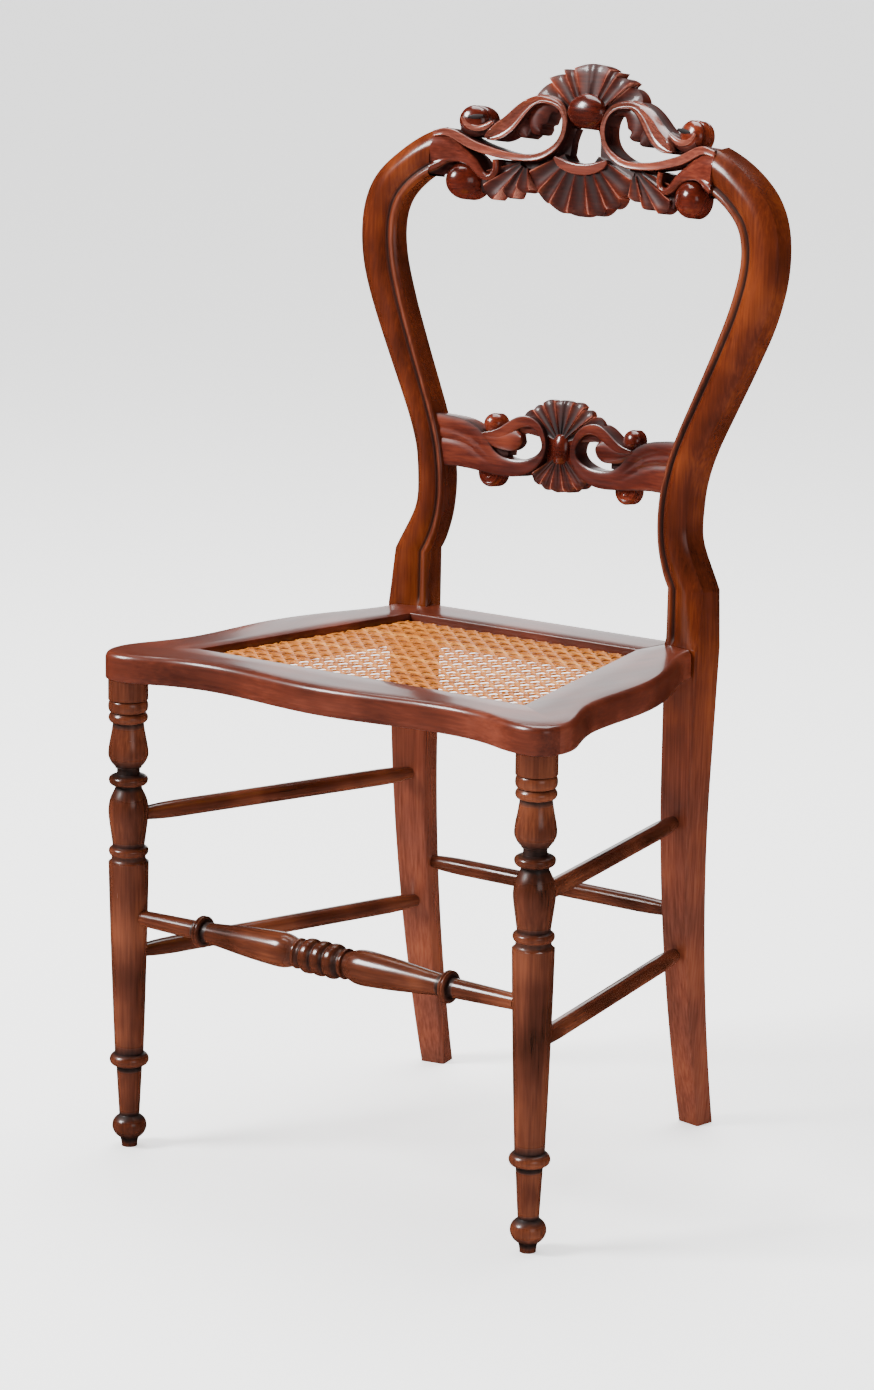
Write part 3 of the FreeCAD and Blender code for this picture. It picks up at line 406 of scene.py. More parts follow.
def carved_stroke(stations, form, level, thick, density=9, shade=0.0, rub_and_highlight=0.0, close=26):
    """A carved band along a smooth line of (x, z, width) stations.

    Form gives the height of its front at a share of its length and across its width,
    and the sides run straight back. The front's own lowest part lies at the level. The
    shade is its dark polish and painted shade, and the rub is how far its edges and face are
    worn and painted paler as highlights.
    """
    line, runs, control = smooth_line([row[:2] for row in stations], density * len(stations))
    widths = natural(range(len(stations)), [row[2] for row in stations])(control)
    across = np.sin(np.linspace(-math.pi / 2, math.pi / 2, close))
    rings = []
    for share, (x, z), (run_x, run_z), width in zip(np.linspace(0, 1, len(line)), line, runs,
                                                    np.maximum(widths, 0.6)):
        out_x, out_z = -run_z * width / 2, run_x * width / 2
        ring = [(x + out_x * s, level - form(share, s), z + out_z * s) for s in across]
        ring += [(x + out_x * s, thick, z + out_z * s) for s in (1, 0.33, -0.33, -1)]
        rings.append(ring)
    # Painted highlight with wear along the edges and face, and painted shade with dark polish at
    # the band's feet and on its sides.
    edge = np.abs(across)
    face = shade - rub_and_highlight * (0.35 + 0.65 * np.exp(-((edge - 0.86) / 0.1) ** 2))
    dark = [*(face + (CORNER_DARK - face) * edge ** 20), *[SIDE_DARK] * 4]
    return np.array(rings), skin(rings), np.tile(dark, len(rings))


def fan_petal(root, inner, thick, petal, dish, ridge=0.0, tone=0.0):
    """One gouged petal of a fan, with a round tip.

    It is given by its two angles from the upright, its reach, how much longer its second
    side is, the bulge of its tip and its level. The tone is its dark polish and painted shade.
    """
    start, end, outer, flare, bulge, level = petal
    turns = np.radians(np.linspace(start, end, 15))
    share = np.linspace(-1, 1, 15)
    step = np.linspace(0, 1, 16)[:, None]
    swell = 1 - share ** 2
    reach = inner + (outer + flare * (1 + share) / 2 + bulge * swell - inner) * step
    hollow = dish * swell * step - ridge * np.exp(-(share / 0.18) ** 2)
    curl = 1.6 * np.maximum(0, step - 0.86) ** 2 / 0.02
    front = np.stack([root[0] + reach * np.sin(turns), level + hollow + curl,
                      root[1] + reach * np.cos(turns)], -1)
    # Painted shade with dark polish at the root and in the middle of each flute, and a painted
    # highlight along its arrises.
    dark = tone + 0.5 * (1 - step) ** 2 + 0.62 * swell - 1.1 * np.abs(share) ** 14 * step
    rear = front.copy()
    rear[..., 1] = thick
    spots = np.concatenate([front.reshape(-1, 3), rear.reshape(-1, 3)])
    back = dark.size
    grid = np.arange(back).reshape(dark.shape)
    faces = []
    for a in grid[:-1, :-1].ravel().tolist():
        b = a + share.size
        faces += [(a, a + 1, b + 1, b), (back + a, back + b, back + b + 1, back + a + 1)]
    rim = np.concatenate([grid[0], grid[1:, -1], grid[-1, -2::-1], grid[-2:0:-1, 0]]).tolist()
    for a, b in zip(rim, rim[1:] + rim[:1]):
        faces.append((a, b, back + b, back + a))
    return spots, faces, np.append(dark, np.full(back, SIDE_DARK))


def fan(root, inner, thick, petals, **cut):
    """Petals from one root, each with its mirror image unless it stands in the middle."""
    parts = []
    for petal in petals:
        one = fan_petal(root, inner, thick, petal, **cut)
        parts += [one] if petal[0] + petal[1] in (0, 360) else [one, flip(one)]
    return parts


def button(x, z, profile, outline=None):
    """A round knob from (radius, depth) stations, front first, that may be out of round.

    Dark polish and painted shade are left behind each rim.
    """
    count = 56
    turns = np.arange(count) * math.tau / count
    stretch = outline(turns) if outline else 1
    rings = [np.stack([x + radius * stretch * np.sin(turns), np.full(count, deep),
                       z + radius * stretch * np.cos(turns)], 1) for radius, deep in profile]
    radii = np.array([radius for radius, _ in profile])
    # Painted shade with dark polish behind each rim, where the knob steps in.
    behind = np.append(False, radii[1:] < radii[:-1]) & (radii < 0.97 * radii.max())
    return np.array(rings), skin(rings), np.repeat(0.6 * behind, count)


def dome(radius, rim, crown, thick, steps=9):
    """Stations of a plain knob that is domed from its rim to its crown."""
    stations = [(radius * math.sin(step * math.pi / 2 / steps) + 0.01,
                 crown + (rim - crown) * (1 - math.cos(step * math.pi / 2 / steps)))
                for step in range(steps + 1)]
    return stations + [(radius, rim + 1), (radius, thick)]


def crowned(height):
    """A rounded band's form."""
    return lambda share, s: height * (1 - s * s)


def flat_faced(share, s):
    """A flat band's form, with its edges eased."""
    return 2.0 * (1 - abs(s) ** 9)


def both_sides(parts):
    """The carving of one half, and its mirror image."""
    return parts + [flip(part) for part in parts]


SCROLL = ((159, 2.5, 5), (148, 5.8, 6), (136, 7.8, 7.5), (124.5, 4, 8.8),
          (110, -2.2, 8.8), (98, -5.3, 8.3), (87, -7.6, 7.6), (75, -9.2, 7),
          (60, -9.7, 6.5), (46, -8, 6.5), (35, -3, 6.2), (26.5, 4, 5.6),
          (21.8, 12.5, 5.2), (20.5, 22, 5.2), (22.5, 31.5, 5.6), (29, 39.5, 6.5),
          (39, 43, 7.5), (50, 43.3, 8.5), (60.5, 38.5, 12), (70.7, 29, 16),
          (79.2, 19.8, 18), (88, 13, 17.5), (95, 8, 12), (99, 4.8, 3))
BAND_FACE = 1.9             # the band's front stands this far over its edges


def scroll_form(share, s):
    """A flat band with thin rims that rises out of the post and opens into a leaf.

    The leaf has one sharp ridge, a hollow on the inner side of it and a rounded fall on
    the other.
    """
    sink = 5.0 * max(0, 1 - share / 0.08) ** 1.5
    band = BAND_FACE * (1 - abs(s) ** 9) - 0.5 * max(0, 1 - abs(s) / 0.7) ** 0.5
    opening = min(1, max(0, (share - 0.6) / 0.14))
    ridge = 0.34 + 0.5 * max(0, share - 0.68)
    if s < ridge:
        down = (ridge - s) / (ridge + 1)
        fall = 3.4 * math.sin(math.pi * min(1, down)) ** 0.8 + 1.2 * down
    else:
        fall = 9.5 * ((s - ridge) / (1 - ridge)) ** 1.7
    return (1 - opening) * band + opening * (BAND_FACE + 0.6 - fall) - sink


STEM = ((163, -17, 36), (150.2, -10.6, 36), (139, -8.2, 30.5), (129, -9.4, 20),
        (120, -12.6, 13), (111.8, -17, 10.5), (105, -23.6, 9), (99.8, -28.2, 7.5),
        (93.8, -29.3, 6.3), (88.8, -25.5, 6), (87.5, -18.8, 6), (88.5, -13.5, 6))
STEM_FACE = 4.0             # the stem's front stands this far over its edges


def stem_form(share, s):
    """The post's roll and bead, running on into the curl round the lower knob."""
    post = STEM_FACE - moulding((1 - s) / 2, ROLL_FALL)
    curl = 3.6 * (1 - s * s) ** 0.7
    change = min(1, max(0, (share - 0.08) / 0.3))
    return (1 - change) * post + change * curl


UPPER_STEM = ((93, 18, 9), (105, 13, 11), (114, 10.8, 11), (124.5, 14, 8))
KNOB_LIP = ((124.5, 22, 3), (119.5, 16.4, 5), (110.5, 13.2, 5.6), (101, 15.4, 5.5),
            (94.5, 20, 3.5))
HOOK = ((31, 36.5, 8), (40, 38.5, 13), (49, 33, 19), (53, 24, 20),
        (51.5, 17, 14), (48, 14.8, 5))
LOBE = ((69, 31.5, 8), (68.3, 21, 14), (63.5, 13, 14), (60.5, 9.3, 5))
WEB = ((18, 21, 13.5), (21, 9, 12), (23.3, -4.5, 13.5), (30, -13.5, 15),
       (42, -18.8, 13.5), (54, -21, 12))
CRESCENT = ((-28, -7.5, 3), (-23, -10.8, 8), (-13, -14.6, 10), (0, -16.2, 10.6),
            (13, -14.6, 10), (23, -10.8, 8), (28, -7.5, 3))
LEAF_BODY = ((48, -18, 14), (62, -20, 17), (74, -22, 19), (84, -27, 18),
             (92, -33.5, 13), (104, -37, 14))
LEAF_ROOT = (57, -11)
LEAF_LOBES = (              # two angles from the upright, reach, flare, bulge, level
    (107, 123, 45, 0, 2, 6), (121, 141, 49.5, 0, 3.2, 3.6),
    (139, 161, 37, 0, 3.4, 5), (158, 188, 26.5, 0, 3.4, 3.6))
FAN = ((21.5, 32, 50.4, 5, 0.3, 4.4), (32, 48.5, 50.2, 8, 0.8, 4),
       (50, 70, 54, 6.5, 2.6, 6.4))
FAN_TOP = ((-21.5, 21.5, 52.4, 0, 1.2, 5.6),)
SHELL = ((150, 169, 61.4, 0, 2.6, 2.2), (135, 150, 61.8, 0, 2.8, 2.2),
         (116, 135, 60, 0, 3.6, 2.2), (169, 191, 60.6, 0, 2.2, 2.2))
# A dark strip on the knob's front that paints the shade of the slot under it.
KNOB_SLOT_SHADE = ((103.5, 24.6, 2.2), (110.5, 23.4, 4.4), (118.5, 22.4, 2.2))
UPPER_KNOB = ((1.2, 2.2), (8, 3.2), (12, 6), (13.6, 9), (13.2, 11.2), (12.2, 12),
              (12.2, 13.2), (13.4, 14), (14, 15.8), (14, 23), (12.8, 24.4),
              (12.8, 25.6), (13.8, 26.6), (13.2, 29), (11.4, 30.4))


def crest_parts():
    """The right half's carving, flat."""
    ground, back = 7.0, CREST_THICK
    # The shade values paint shade, with dark polish, on the lower strokes, and the rub values pale
    # the band faces as wear and painted highlights.
    parts = [carved_stroke(SCROLL, scroll_form, BAND_FACE, back - 2, rub_and_highlight=0.55, close=36),
             carved_stroke(STEM, stem_form, STEM_FACE, back, rub_and_highlight=0.15, close=36),
             carved_stroke(UPPER_STEM, crowned(2.5), 6.5, back, 8, shade=0.5),
             carved_stroke(KNOB_LIP, crowned(1.6), 3.2, 8.0, 8, rub_and_highlight=0.8),
             # The dark strip paints the slot's shade.
             carved_stroke(KNOB_SLOT_SHADE, crowned(0.4), 2.4, 8.0, 8, shade=1.0),
             carved_stroke(HOOK, crowned(3.2), ground + 1.5, back, shade=0.45),
             carved_stroke(LOBE, crowned(3.0), ground + 1.0, back, shade=0.6),
             carved_stroke(WEB, crowned(0.5), ground + 1.5, 19.0, 6, shade=0.7),
             carved_stroke(LEAF_BODY, crowned(0.8), ground + 3.0, back - 3, shade=0.7)]
    parts += [fan_petal(LEAF_ROOT, 8, back - 3, lobe, dish=3.2) for lobe in LEAF_LOBES]
    return parts + [button(116.2, 20.0, UPPER_KNOB),
                    button(120.8, -34.4, dome(16.8, 13.0, -3.6, back - 1, 14))]


def egg(turn):
    """The boss's outline: wider than high, pointed above and flat below."""
    oval = 1 / np.hypot(np.sin(turn), np.cos(turn) / 0.765)
    return oval * (1 + 0.05 * np.maximum(0, np.cos(turn)) ** 8)


def crest_middle():
    """The carving on the middle line: crescent, fan, shell and boss."""
    # The crescent's rub paints a highlight with wear, and the fans' tone paints shade with dark
    # polish.
    return [carved_stroke(CRESCENT, flat_faced, 2.6, 20, 10, rub_and_highlight=0.3),
            *fan((0, 24), 6, 24, FAN, dish=3.4, tone=0.1),
            *fan((0, 24), 6, 25, FAN_TOP, dish=2.8, ridge=1.6, tone=0.1),
            *fan((0, 5), 20, 22, SHELL, dish=5.6, tone=0.1),
            button(0, 35.0, dome(20.0, 5.0, -5.6, 25, 14), egg)]


crest_place = bent(CREST_JOINT, CREST_SAG, CREST_THICK, CREST_RAKE, CREST_HEIGHT, CREST_BACK)


def cut_ends(parts, reach):
    """Carving that stops at the joints with the posts."""
    kept = []
    for spots, faces, dark in parts:
        spots = np.array(spots)
        spots[..., 0] = np.clip(spots[..., 0], -reach, reach)
        kept.append((spots, faces, dark))
    return kept


# The fourth colour is the rubbed one, which also paints highlights, and the fifth is the dark
# polish, which also paints shade.
carving_polish = polished_mahogany("French-polished red mahogany stain on the carving",
                                   "#240805", "#541b0f", "#84371e",
                                   "#b4705e", "#120404", 0.2, 0.6)
crest = cut_ends(both_sides(crest_parts()) + crest_middle(), CREST_JOINT)
piece("crest_rail_carving", [(crest_place(spots), faces, dark) for spots, faces, dark in crest],
      (1, 0, 0), "crest_rail", carving_polish, 40)


# Middle rail
# A smaller pierced rail of the same wood, tenoned into the posts and carved in the same
# way: two end blocks with a wavy cut, scrolled bands, volutes, balls, fans and a barrel.

MID_HALF = 124.0
MID_SAG = 10.0
MID_THICK = 20.0
MID_RAKE = math.radians(6.0)
MID_HEIGHT, MID_BACK = 606.0, 356.5     # the middle of its face, as the crest's
MID_BAND = ((131, -2.7, 45.9), (118, -3, 45.4), (104, -4.2, 43.4), (89.3, -9.3, 37.2),
            (76.9, -15.5, 26), (64.5, -19.8, 18.6), (52.1, -21.5, 16.1), (39.7, -20.5, 14.3),
            (27.3, -15.5, 11.2), (19, -8.1, 7.4), (15.9, 0, 5.2), (17.6, 8.7, 5.7),
            (22.9, 16.7, 7.2), (31, 21.3, 8.7), (39.7, 21.4, 10.5), (49.6, 17, 10.5),
            (59.5, 10.5, 9.5), (69.4, 6.8, 7.4), (80, 6.4, 3))


def mid_band_form(share, s):
    """A hollow band with a rim, that widens into the end block with its wavy cut."""
    block = min(1, 3 * max(0, 1 - share / 0.3))
    wave = 1.8 * math.exp(-((s + 0.12 - 0.5 * share) / 0.09) ** 2)
    lower = 1.5 * math.exp(-((s + 0.5 - 0.4 * share) / 0.12) ** 2)
    slim = 1.0 * (1 - s ** 4) + 0.9 * max(0, s) ** 2
    return block * (1.2 * (1 - s ** 6) - wave - lower) + (1 - block) * slim


MID_LEAF = ((40.5, 6.5, 8), (43.5, 5.7, 15.5), (48, 5, 20.5), (54, 4, 21),
            (62, 2.6, 17.2), (71.9, 2.6, 11.6), (79.4, 5.2, 6.2), (81.8, 6.7, 1.9))
MID_SLOT = ((55.8, -7.4, 7.4), (69.4, -6.2, 11.2), (81.8, -1.2, 14.9), (89.3, 5, 14.9))
MID_HOLE_TOP = ((21.1, 12.4, 7.4), (29.8, 14.3, 8.7), (40.9, 14.9, 8.7), (52, 12, 8.7))
MID_WEB = ((0, -21.1, 24.8), (0, -6.2, 29.8), (0, 9.9, 32.2), (0, 24.8, 29.8))
MID_FAN = ((15, 33, 38.6, 2, 1.4, 2.6), (35, 50, 38.6, 2.5, 2.6, 2.4),
           (51, 72, 43, 3, 3.2, 4.4))
MID_FAN_TOP = ((-15.5, 15.5, 37, 0, 1.4, 3.6),)
MID_SHELL = ((167, 193, 32.5, 0, 2, 2.2), (146, 167, 33.7, 0, 2.2, 3.2),
             (125, 146, 36, 0, 2.2, 4.2))


def volute(x, z, radius, level, thick):
    """A round eye with a thin cord wound on it in a little over one and a half turns."""
    parts = [button(x, z, dome(radius, level + 2.4, level - 0.4, thick))]
    rings = []
    for share in np.linspace(0, 1, 70):
        turn = math.tau * (1.6 * share + 0.1)
        reach = radius * (0.9 - 0.68 * share)
        deep = level - 0.4 + 2.8 * (1 - math.sqrt(max(0, 1 - (reach / radius) ** 2)))
        size = 1.25 - 0.35 * share
        out = (math.sin(turn), math.cos(turn))
        rings.append([(x + out[0] * (reach + size * math.cos(a)), deep + size * 0.9 * math.sin(a),
                       z + out[1] * (reach + size * math.cos(a)))
                      for a in np.linspace(0, math.tau, 11)[:-1]])
    parts.append((np.array(rings), skin(rings), 0.0))
    return parts


def mid_parts():
    """The right half's carving of the middle rail, flat."""
    back = MID_THICK
    # The shade values paint shade, with dark polish, most in the slot and the hole's top.
    return [carved_stroke(MID_BAND, mid_band_form, 1.2, back, shade=0.22),
            carved_stroke(MID_LEAF, crowned(2.0), 2.4, 10, 8, shade=0.2),
            carved_stroke(MID_SLOT, crowned(0.4), 6.2, back, 6, shade=0.8),
            carved_stroke(MID_HOLE_TOP, crowned(1.0), 5.2, back, 6, shade=0.4),
            button(75.0, 15.5, dome(10.0, 11.0, 2.4, back - 1)),
            *volute(73.5, -29.0, 12.3, 5.4, back - 1)]


def mid_middle():
    """The fans, the boss and the ground between them."""
    # The fans' tone paints shade with dark polish in their flutes.
    parts = [carved_stroke(MID_WEB, crowned(0.3), 5.4, 19, 6),
             *fan((0, 6), 4, 13, MID_FAN, dish=2.4, tone=0.15),
             *fan((0, 6), 4, 14, MID_FAN_TOP, dish=2.2, ridge=1.2, tone=0.2),
             *fan((0, -4), 4, 18, MID_SHELL, dish=1.6, ridge=0.8)]
    rings = []
    for share in np.linspace(0, 1, 22):
        radius = 10.2 * math.sin(math.pi * (0.1 + 0.8 * share)) ** 0.42
        if share in (0.0, 1.0):
            radius *= 0.75
        rings.append([(radius * math.sin(a), 8.8 - radius * math.cos(a), -14.0 + 28.5 * share)
                      for a in np.linspace(0, math.tau, 41)[:-1]])
    return parts + [(np.array(rings), skin(rings), 0.0)]


mid_place = bent(MID_HALF, MID_SAG, MID_THICK, MID_RAKE, MID_HEIGHT, MID_BACK)
middle_rail = both_sides(mid_parts()) + mid_middle()
piece("mid_rail_carving", [(mid_place(spots), faces, dark) for spots, faces, dark in middle_rail],
      (1, 0, 0), "mid_rail", carving_polish, 40)


# Seat frame
# Four flat rails of stained beech, mitred and tongued at their corners, with a wavy outer
# edge that is rounded on top, and a rebate round the opening that the cane lies in. The
# polish is thin, browner than the carving's and worn dull on top.

SEAT_HALF = 238.5
RAIL_THICK = 24.5
SEAT_EDGE = ((0, 0.022), (0.25, 0.039), (0.495, 0.059), (0.71, 0.038), (0.865, 0.003),
             (0.965, 0.016), (1, 0.083), (0.962, 0.178), (0.906, 0.281), (0.884, 0.414),
             (0.868, 0.574), (0.822, 0.71), (0.746, 0.84), (0.697, 0.932), (0.681, 1.03))
OPEN_FRONT, OPEN_BACK = 63.0, 305.0
OPEN_FRONT_HALF, OPEN_BACK_HALF = 172.1, 123.4
REBATE, LEDGE = 7.0, 9.0
EDGE_IN, EDGE_DOWN = 5.4, 6.0           # the round of the outer edge
MITRE_TIP = (1.02 * SEAT_HALF, 15.0)    # the front mitre runs towards this point
BACK_HALF, BACK_EDGE = 131.8, 356.0     # the back rail's rear edge, between the posts
POST_GAP = 8.5              # the side rail's outer edge ends this far before the post's face
SIDE_SHARE = 0.94           # of the side rail's length, where it turns from opening to post


def rail(outer, inner, outer_normals, inner_normals, ledges):
    """One rail's skin between its outer edge and the opening, from paired plan points."""
    low, high = SEAT_TOP - RAIL_THICK, SEAT_TOP
    rings = []
    for far, near, far_out, near_out, ledge in zip(outer, inner, outer_normals, inner_normals,
                                                   ledges):
        way = (far - near) / np.linalg.norm(far - near)
        near_way = way / max(0.35, way @ near_out)
        far_way = way / max(0.35, way @ far_out)
        ring = [(near + near_way * inset, z) for inset, z in (
            (-LEDGE * ledge, low), (-LEDGE * ledge, high - REBATE), (0, high - REBATE),
            (0, high - 0.8), (0.3, high - 0.2), (1, high))]
        ring += [(near + (far - near) * share, high) for share in (0.35, 0.7)]
        ring += [(far - far_way * EDGE_IN * (1 - math.cos(bend)),
                  high - EDGE_DOWN * (1 - math.sin(bend)))
                 for bend in np.radians(np.linspace(90, 0, 9))]
        ring += [(far - far_way * inset, z) for inset, z in (
            (0, low + 6), (0, low + 1.2), (0.4, low + 0.3), (1.2, low))]
        ring.append(((near + far) / 2, low))
        rings.append([(*spot, z) for spot, z in ring])
    return np.array(rings), skin(rings), 0.0


def front_and_sides():
    """The skins of the front, back and right rails."""
    half = [(x * SEAT_HALF, y * POST_FACE - DEPTH / 2) for x, y in SEAT_EDGE]
    edge, runs, _ = smooth_line([(-x, y) for x, y in reversed(half[1:])] + half, 900)
    normals = np.stack([runs[:, 1], -runs[:, 0]], 1)
    front_y, back_y = OPEN_FRONT - DEPTH / 2, OPEN_BACK - DEPTH / 2
    corner = np.array([OPEN_FRONT_HALF, front_y])
    way = np.array(MITRE_TIP) - (0, DEPTH / 2) - corner
    side_of = (edge - corner) @ np.array([way[1], -way[0]])
    right_half = np.arange(len(edge)) > len(edge) // 2
    mitre = np.argmax(right_half & (side_of < 0))
    last = np.argmax(right_half & (edge[:, 1] > POST_FACE - POST_GAP - DEPTH / 2))
    other = len(edge) - 1 - mitre
    count = 160
    shares = np.linspace(0, 1, count)
    index = np.round(other + (mitre - other) * shares).astype(int)
    inner = np.stack([OPEN_FRONT_HALF * (2 * shares - 1), np.full(count, front_y)], 1)
    front = rail(edge[index], inner, normals[index], np.tile([0, -1.0], (count, 1)),
                 np.ones(count))
    index = np.round(mitre + (last - mitre) * shares).astype(int)
    back_corner = np.array([OPEN_BACK_HALF, back_y])
    slope = back_corner - corner
    to_post = np.array([POST_INNER, POST_FACE - DEPTH / 2]) - back_corner
    inner = (corner + slope * np.minimum(shares / SIDE_SHARE, 1)[:, None]
             + to_post * np.maximum((shares - SIDE_SHARE) / (1 - SIDE_SHARE), 0)[:, None])
    out = np.array([slope[1], -slope[0]]) / np.linalg.norm(slope)
    right = rail(edge[index], inner, normals[index], np.tile(out, (count, 1)),
                 (shares < SIDE_SHARE + 0.005).astype(float))
    shares = np.linspace(-1, 1, 24)
    rear = np.stack([shares * BACK_HALF, np.full(24, BACK_EDGE - DEPTH / 2)], 1)
    near = np.stack([shares * OPEN_BACK_HALF, np.full(24, back_y)], 1)
    backward = np.tile([0, 1.0], (24, 1))
    return front, rail(rear, near, backward, backward, np.ones(24)), right


seat_polish = polished_mahogany("Worn French polish on the seat frame", "#38140b", "#552213",
                                "#743624", "#a06848", "#120503", 0.3, 0.4)
front_rail, back_rail, right_rail = front_and_sides()
for side, part, grain in (("front", front_rail, (1, 0, 0)), ("back", back_rail, (1, 0, 0)),
                          ("right", right_rail, (0.2, 1, 0)),
                          ("left", flip(right_rail), (-0.2, 1, 0))):
    piece("seat_rail_" + side + "_wood", [part], grain, "seat_rail_" + side, seat_polish)


# Cane seat
# Strips of split rattan bark woven in six ways through holes along the rebate: pairs
# from front to back, pairs from side to side woven through them, and one strip along
# each diagonal, which leaves eight-sided holes. It is glossy, golden and a little uneven.

PITCH = 15.4
PAIR = 2.8                  # each strip of a pair from the pair's middle
STRIP, STRIP_THICK = 2.3, 0.55
STRIP_FORM = ((-1, -0.5), (-1, 0.2), (-0.45, 0.5), (0.45, 0.5), (1, 0.2), (1, -0.5))
CANE_LEVEL = SEAT_TOP - REBATE + 1.1
HOLE_INSET = 4.0            # the holes in the ledge, from the rebate's wall


def cane_limits(y):
    """Half the caned width at a depth in the frame."""
    share = (y + DEPTH / 2 - OPEN_FRONT) / (OPEN_BACK - OPEN_FRONT)
    return OPEN_FRONT_HALF + (OPEN_BACK_HALF - OPEN_FRONT_HALF) * share - HOLE_INSET


def strip(start, end, lift, level):
    """One strip between two plan points, bent up and down by lift along its length."""
    start, end = np.array(start), np.array(end)
    length = np.linalg.norm(end - start)
    if length < 4:
        return None
    way = (end - start) / length
    side = np.array([-way[1], way[0]]) * STRIP / 2
    rings = []
    for share in np.linspace(0, 1, max(3, int(length / 2.2))):
        spot = start + way * length * share
        rise = CANE_LEVEL - 1.0 if share in (0.0, 1.0) else level + lift(spot)
        rings.append([(*(spot + side * out), rise + STRIP_THICK * up) for out, up in STRIP_FORM])
    return np.array(rings), skin(rings), 0.0


def cane_strips():
    """Every strip of the seat."""
    front, back = OPEN_FRONT + HOLE_INSET - DEPTH / 2, OPEN_BACK - HOLE_INSET - DEPTH / 2
    strips = []
    columns = int(cane_limits(front) / PITCH)
    for column in range(-columns, columns + 1):
        for side in (-1, 1):
            x = column * PITCH + side * PAIR
            reach = back
            if abs(x) > cane_limits(back):
                wide, thin = cane_limits(front), cane_limits(back)
                reach = front + (wide - abs(x)) / (wide - thin) * (back - front)
            strips.append(strip((x, front), (x, reach), lambda spot, s=side: 0.35 * s * math.cos(
                math.tau * (spot[1] - front) / PITCH), CANE_LEVEL))
    rows = int((back - front) / PITCH)
    for row in range(1, rows + 1):
        for side in (-1, 1):
            y = front + row * PITCH + side * PAIR - PITCH / 2
            half = cane_limits(y)
            strips.append(strip((-half, y), (half, y), lambda spot, s=side: 0.35 * s * math.cos(
                math.tau * spot[0] / PITCH), CANE_LEVEL + 0.45))
    steps = int((OPEN_FRONT_HALF + back - front) / PITCH) + 2
    for way in (-1, 1):
        for step in range(-2 * steps, 2 * steps):
            line = []
            base = (step + 0.5) * PITCH
            for y in np.arange(front, back, 1.0):
                x = way * (y - front + PITCH / 2 - base)
                if abs(x) <= cane_limits(y):
                    line.append((x, y))
            if len(line) > 6:
                strips.append(strip(line[0], line[-1], lambda spot, w=way: 0.25 * math.sin(
                    math.tau * (spot[0] + w * spot[1]) / PITCH), CANE_LEVEL + 0.85 + 0.12 * way))
    return [one for one in strips if one]


def glossy_cane():
    """Shellacked rattan bark: golden, with pale fibres and darker joints.

    The fibres are drawn 1.1 mm wide, coarser than they are, so that they show. The
    darker patches are 18 mm long.
    """
    made = new_material("Shellacked split cane")
    grain = add(made, "Attribute", {"attribute_name": "grain"}).outputs["Vector"]
    fibre = add(made, "TexNoise", {"Scale": per_metre(1.111), "Detail": 2}, Vector=grain)
    patch = add(made, "TexNoise", {"Scale": per_metre(18.18), "Detail": 3, "Roughness": 0.6},
                Vector=grain)
    spread = add(made, "Math", {"operation": "MULTIPLY", 1: 0.65}, i0=patch)
    mixed = add(made, "Math", {"operation": "MULTIPLY_ADD", 1: 0.35}, i0=fibre, i2=spread)
    colour = add(made, "ValToRGB",
                 {"stops": ((0.36, "#7a3c0c"), (0.5, "#bc6c1e"), (0.64, "#e09a44"))}, i0=mixed)
    body = add(made, "BsdfPrincipled", {"IOR": 1.5, "Roughness": 0.4,
                                        "Specular IOR Level": 0.25,
                                        "Coat Weight": 0.15, "Coat Roughness": 0.2},
               Base_Color=colour)
    add(made, "OutputMaterial", Surface=body)
    return made


piece("cane_seat_weave", cane_strips(), (0, 1, 0), "cane_seat", glossy_cane(), 30)


# Front legs
# Each is turned between centres from a square of beech: a ball foot, a long taper between
# rings, two vases and a bead and collar under the seat, where a round tenon holds it. The
# stain is a plain brown, darker in the quirks with dark polish and painted shade.

LEG_SPREAD, LEG_BACK = 215.8, 18.6
LEG_TOP = SEAT_TOP - RAIL_THICK
LEG_PROFILE = (             # radius and height, with the sharp turns given twice
    (0.01, 0), (6.4, 0), (6.9, 0.6), (7.6, 5.5), (8.3, 8), (8.3, 8), (12.4, 11.5),
    (14.8, 16), (15.2, 20), (13.4, 25), (9.3, 28.6), (9, 29.4), (9, 29.4), (9.6, 40),
    (10.8, 62), (11.4, 74.6), (11.4, 74.6), (15.6, 76.4), (17.4, 80.5), (15.6, 84.6),
    (12.7, 86.2), (12.7, 86.2), (14.6, 140), (16.6, 210), (17.75, 261), (17.75, 261),
    (15.2, 263.5), (15, 267), (15, 267), (16.6, 268.4), (17.4, 271), (16.6, 273.6),
    (13.9, 275.4), (13.9, 275.4), (15.2, 285), (17.2, 300), (17.6, 309), (16, 318),
    (12.4, 326), (11.5, 329.6), (11.5, 329.6), (15.6, 331.4), (17.2, 335), (15.6, 338.2),
    (11, 340), (10.1, 341), (10.1, 345), (11.4, 346), (11.4, 346.8), (11.4, 346.8),
    (14.6, 350.4), (17, 355), (17.6, 359), (16.9, 366), (15, 376), (13.4, 386.4),
    (13.4, 386.4), (15.8, 387.4), (17.3, 391), (15.8, 394.4), (14.4, 395.6), (14.4, 395.6),
    (16.6, 397), (17.5, 401.2), (16.6, 405.4), (14.9, 406.6), (14.9, 406.6), (17.1, 407.2),
    (17.5, 408), (17.5, 416), (17.5, LEG_TOP))


def turned_profile(profile):
    """A profile with curves drawn through its points, and its doubled points kept sharp."""
    runs = [[profile[0]]]
    for before, after in zip(profile, profile[1:]):
        if before == after:
            runs.append([])
        runs[-1].append(after)
    whole = []
    for run in runs:
        if len(run) < 3:
            whole += run
        else:
            last = len(run) - 1
            curve = natural(range(len(run)), run)(np.linspace(0, last, 6 * last + 1))
            whole += [tuple(row) for row in curve]
    return whole


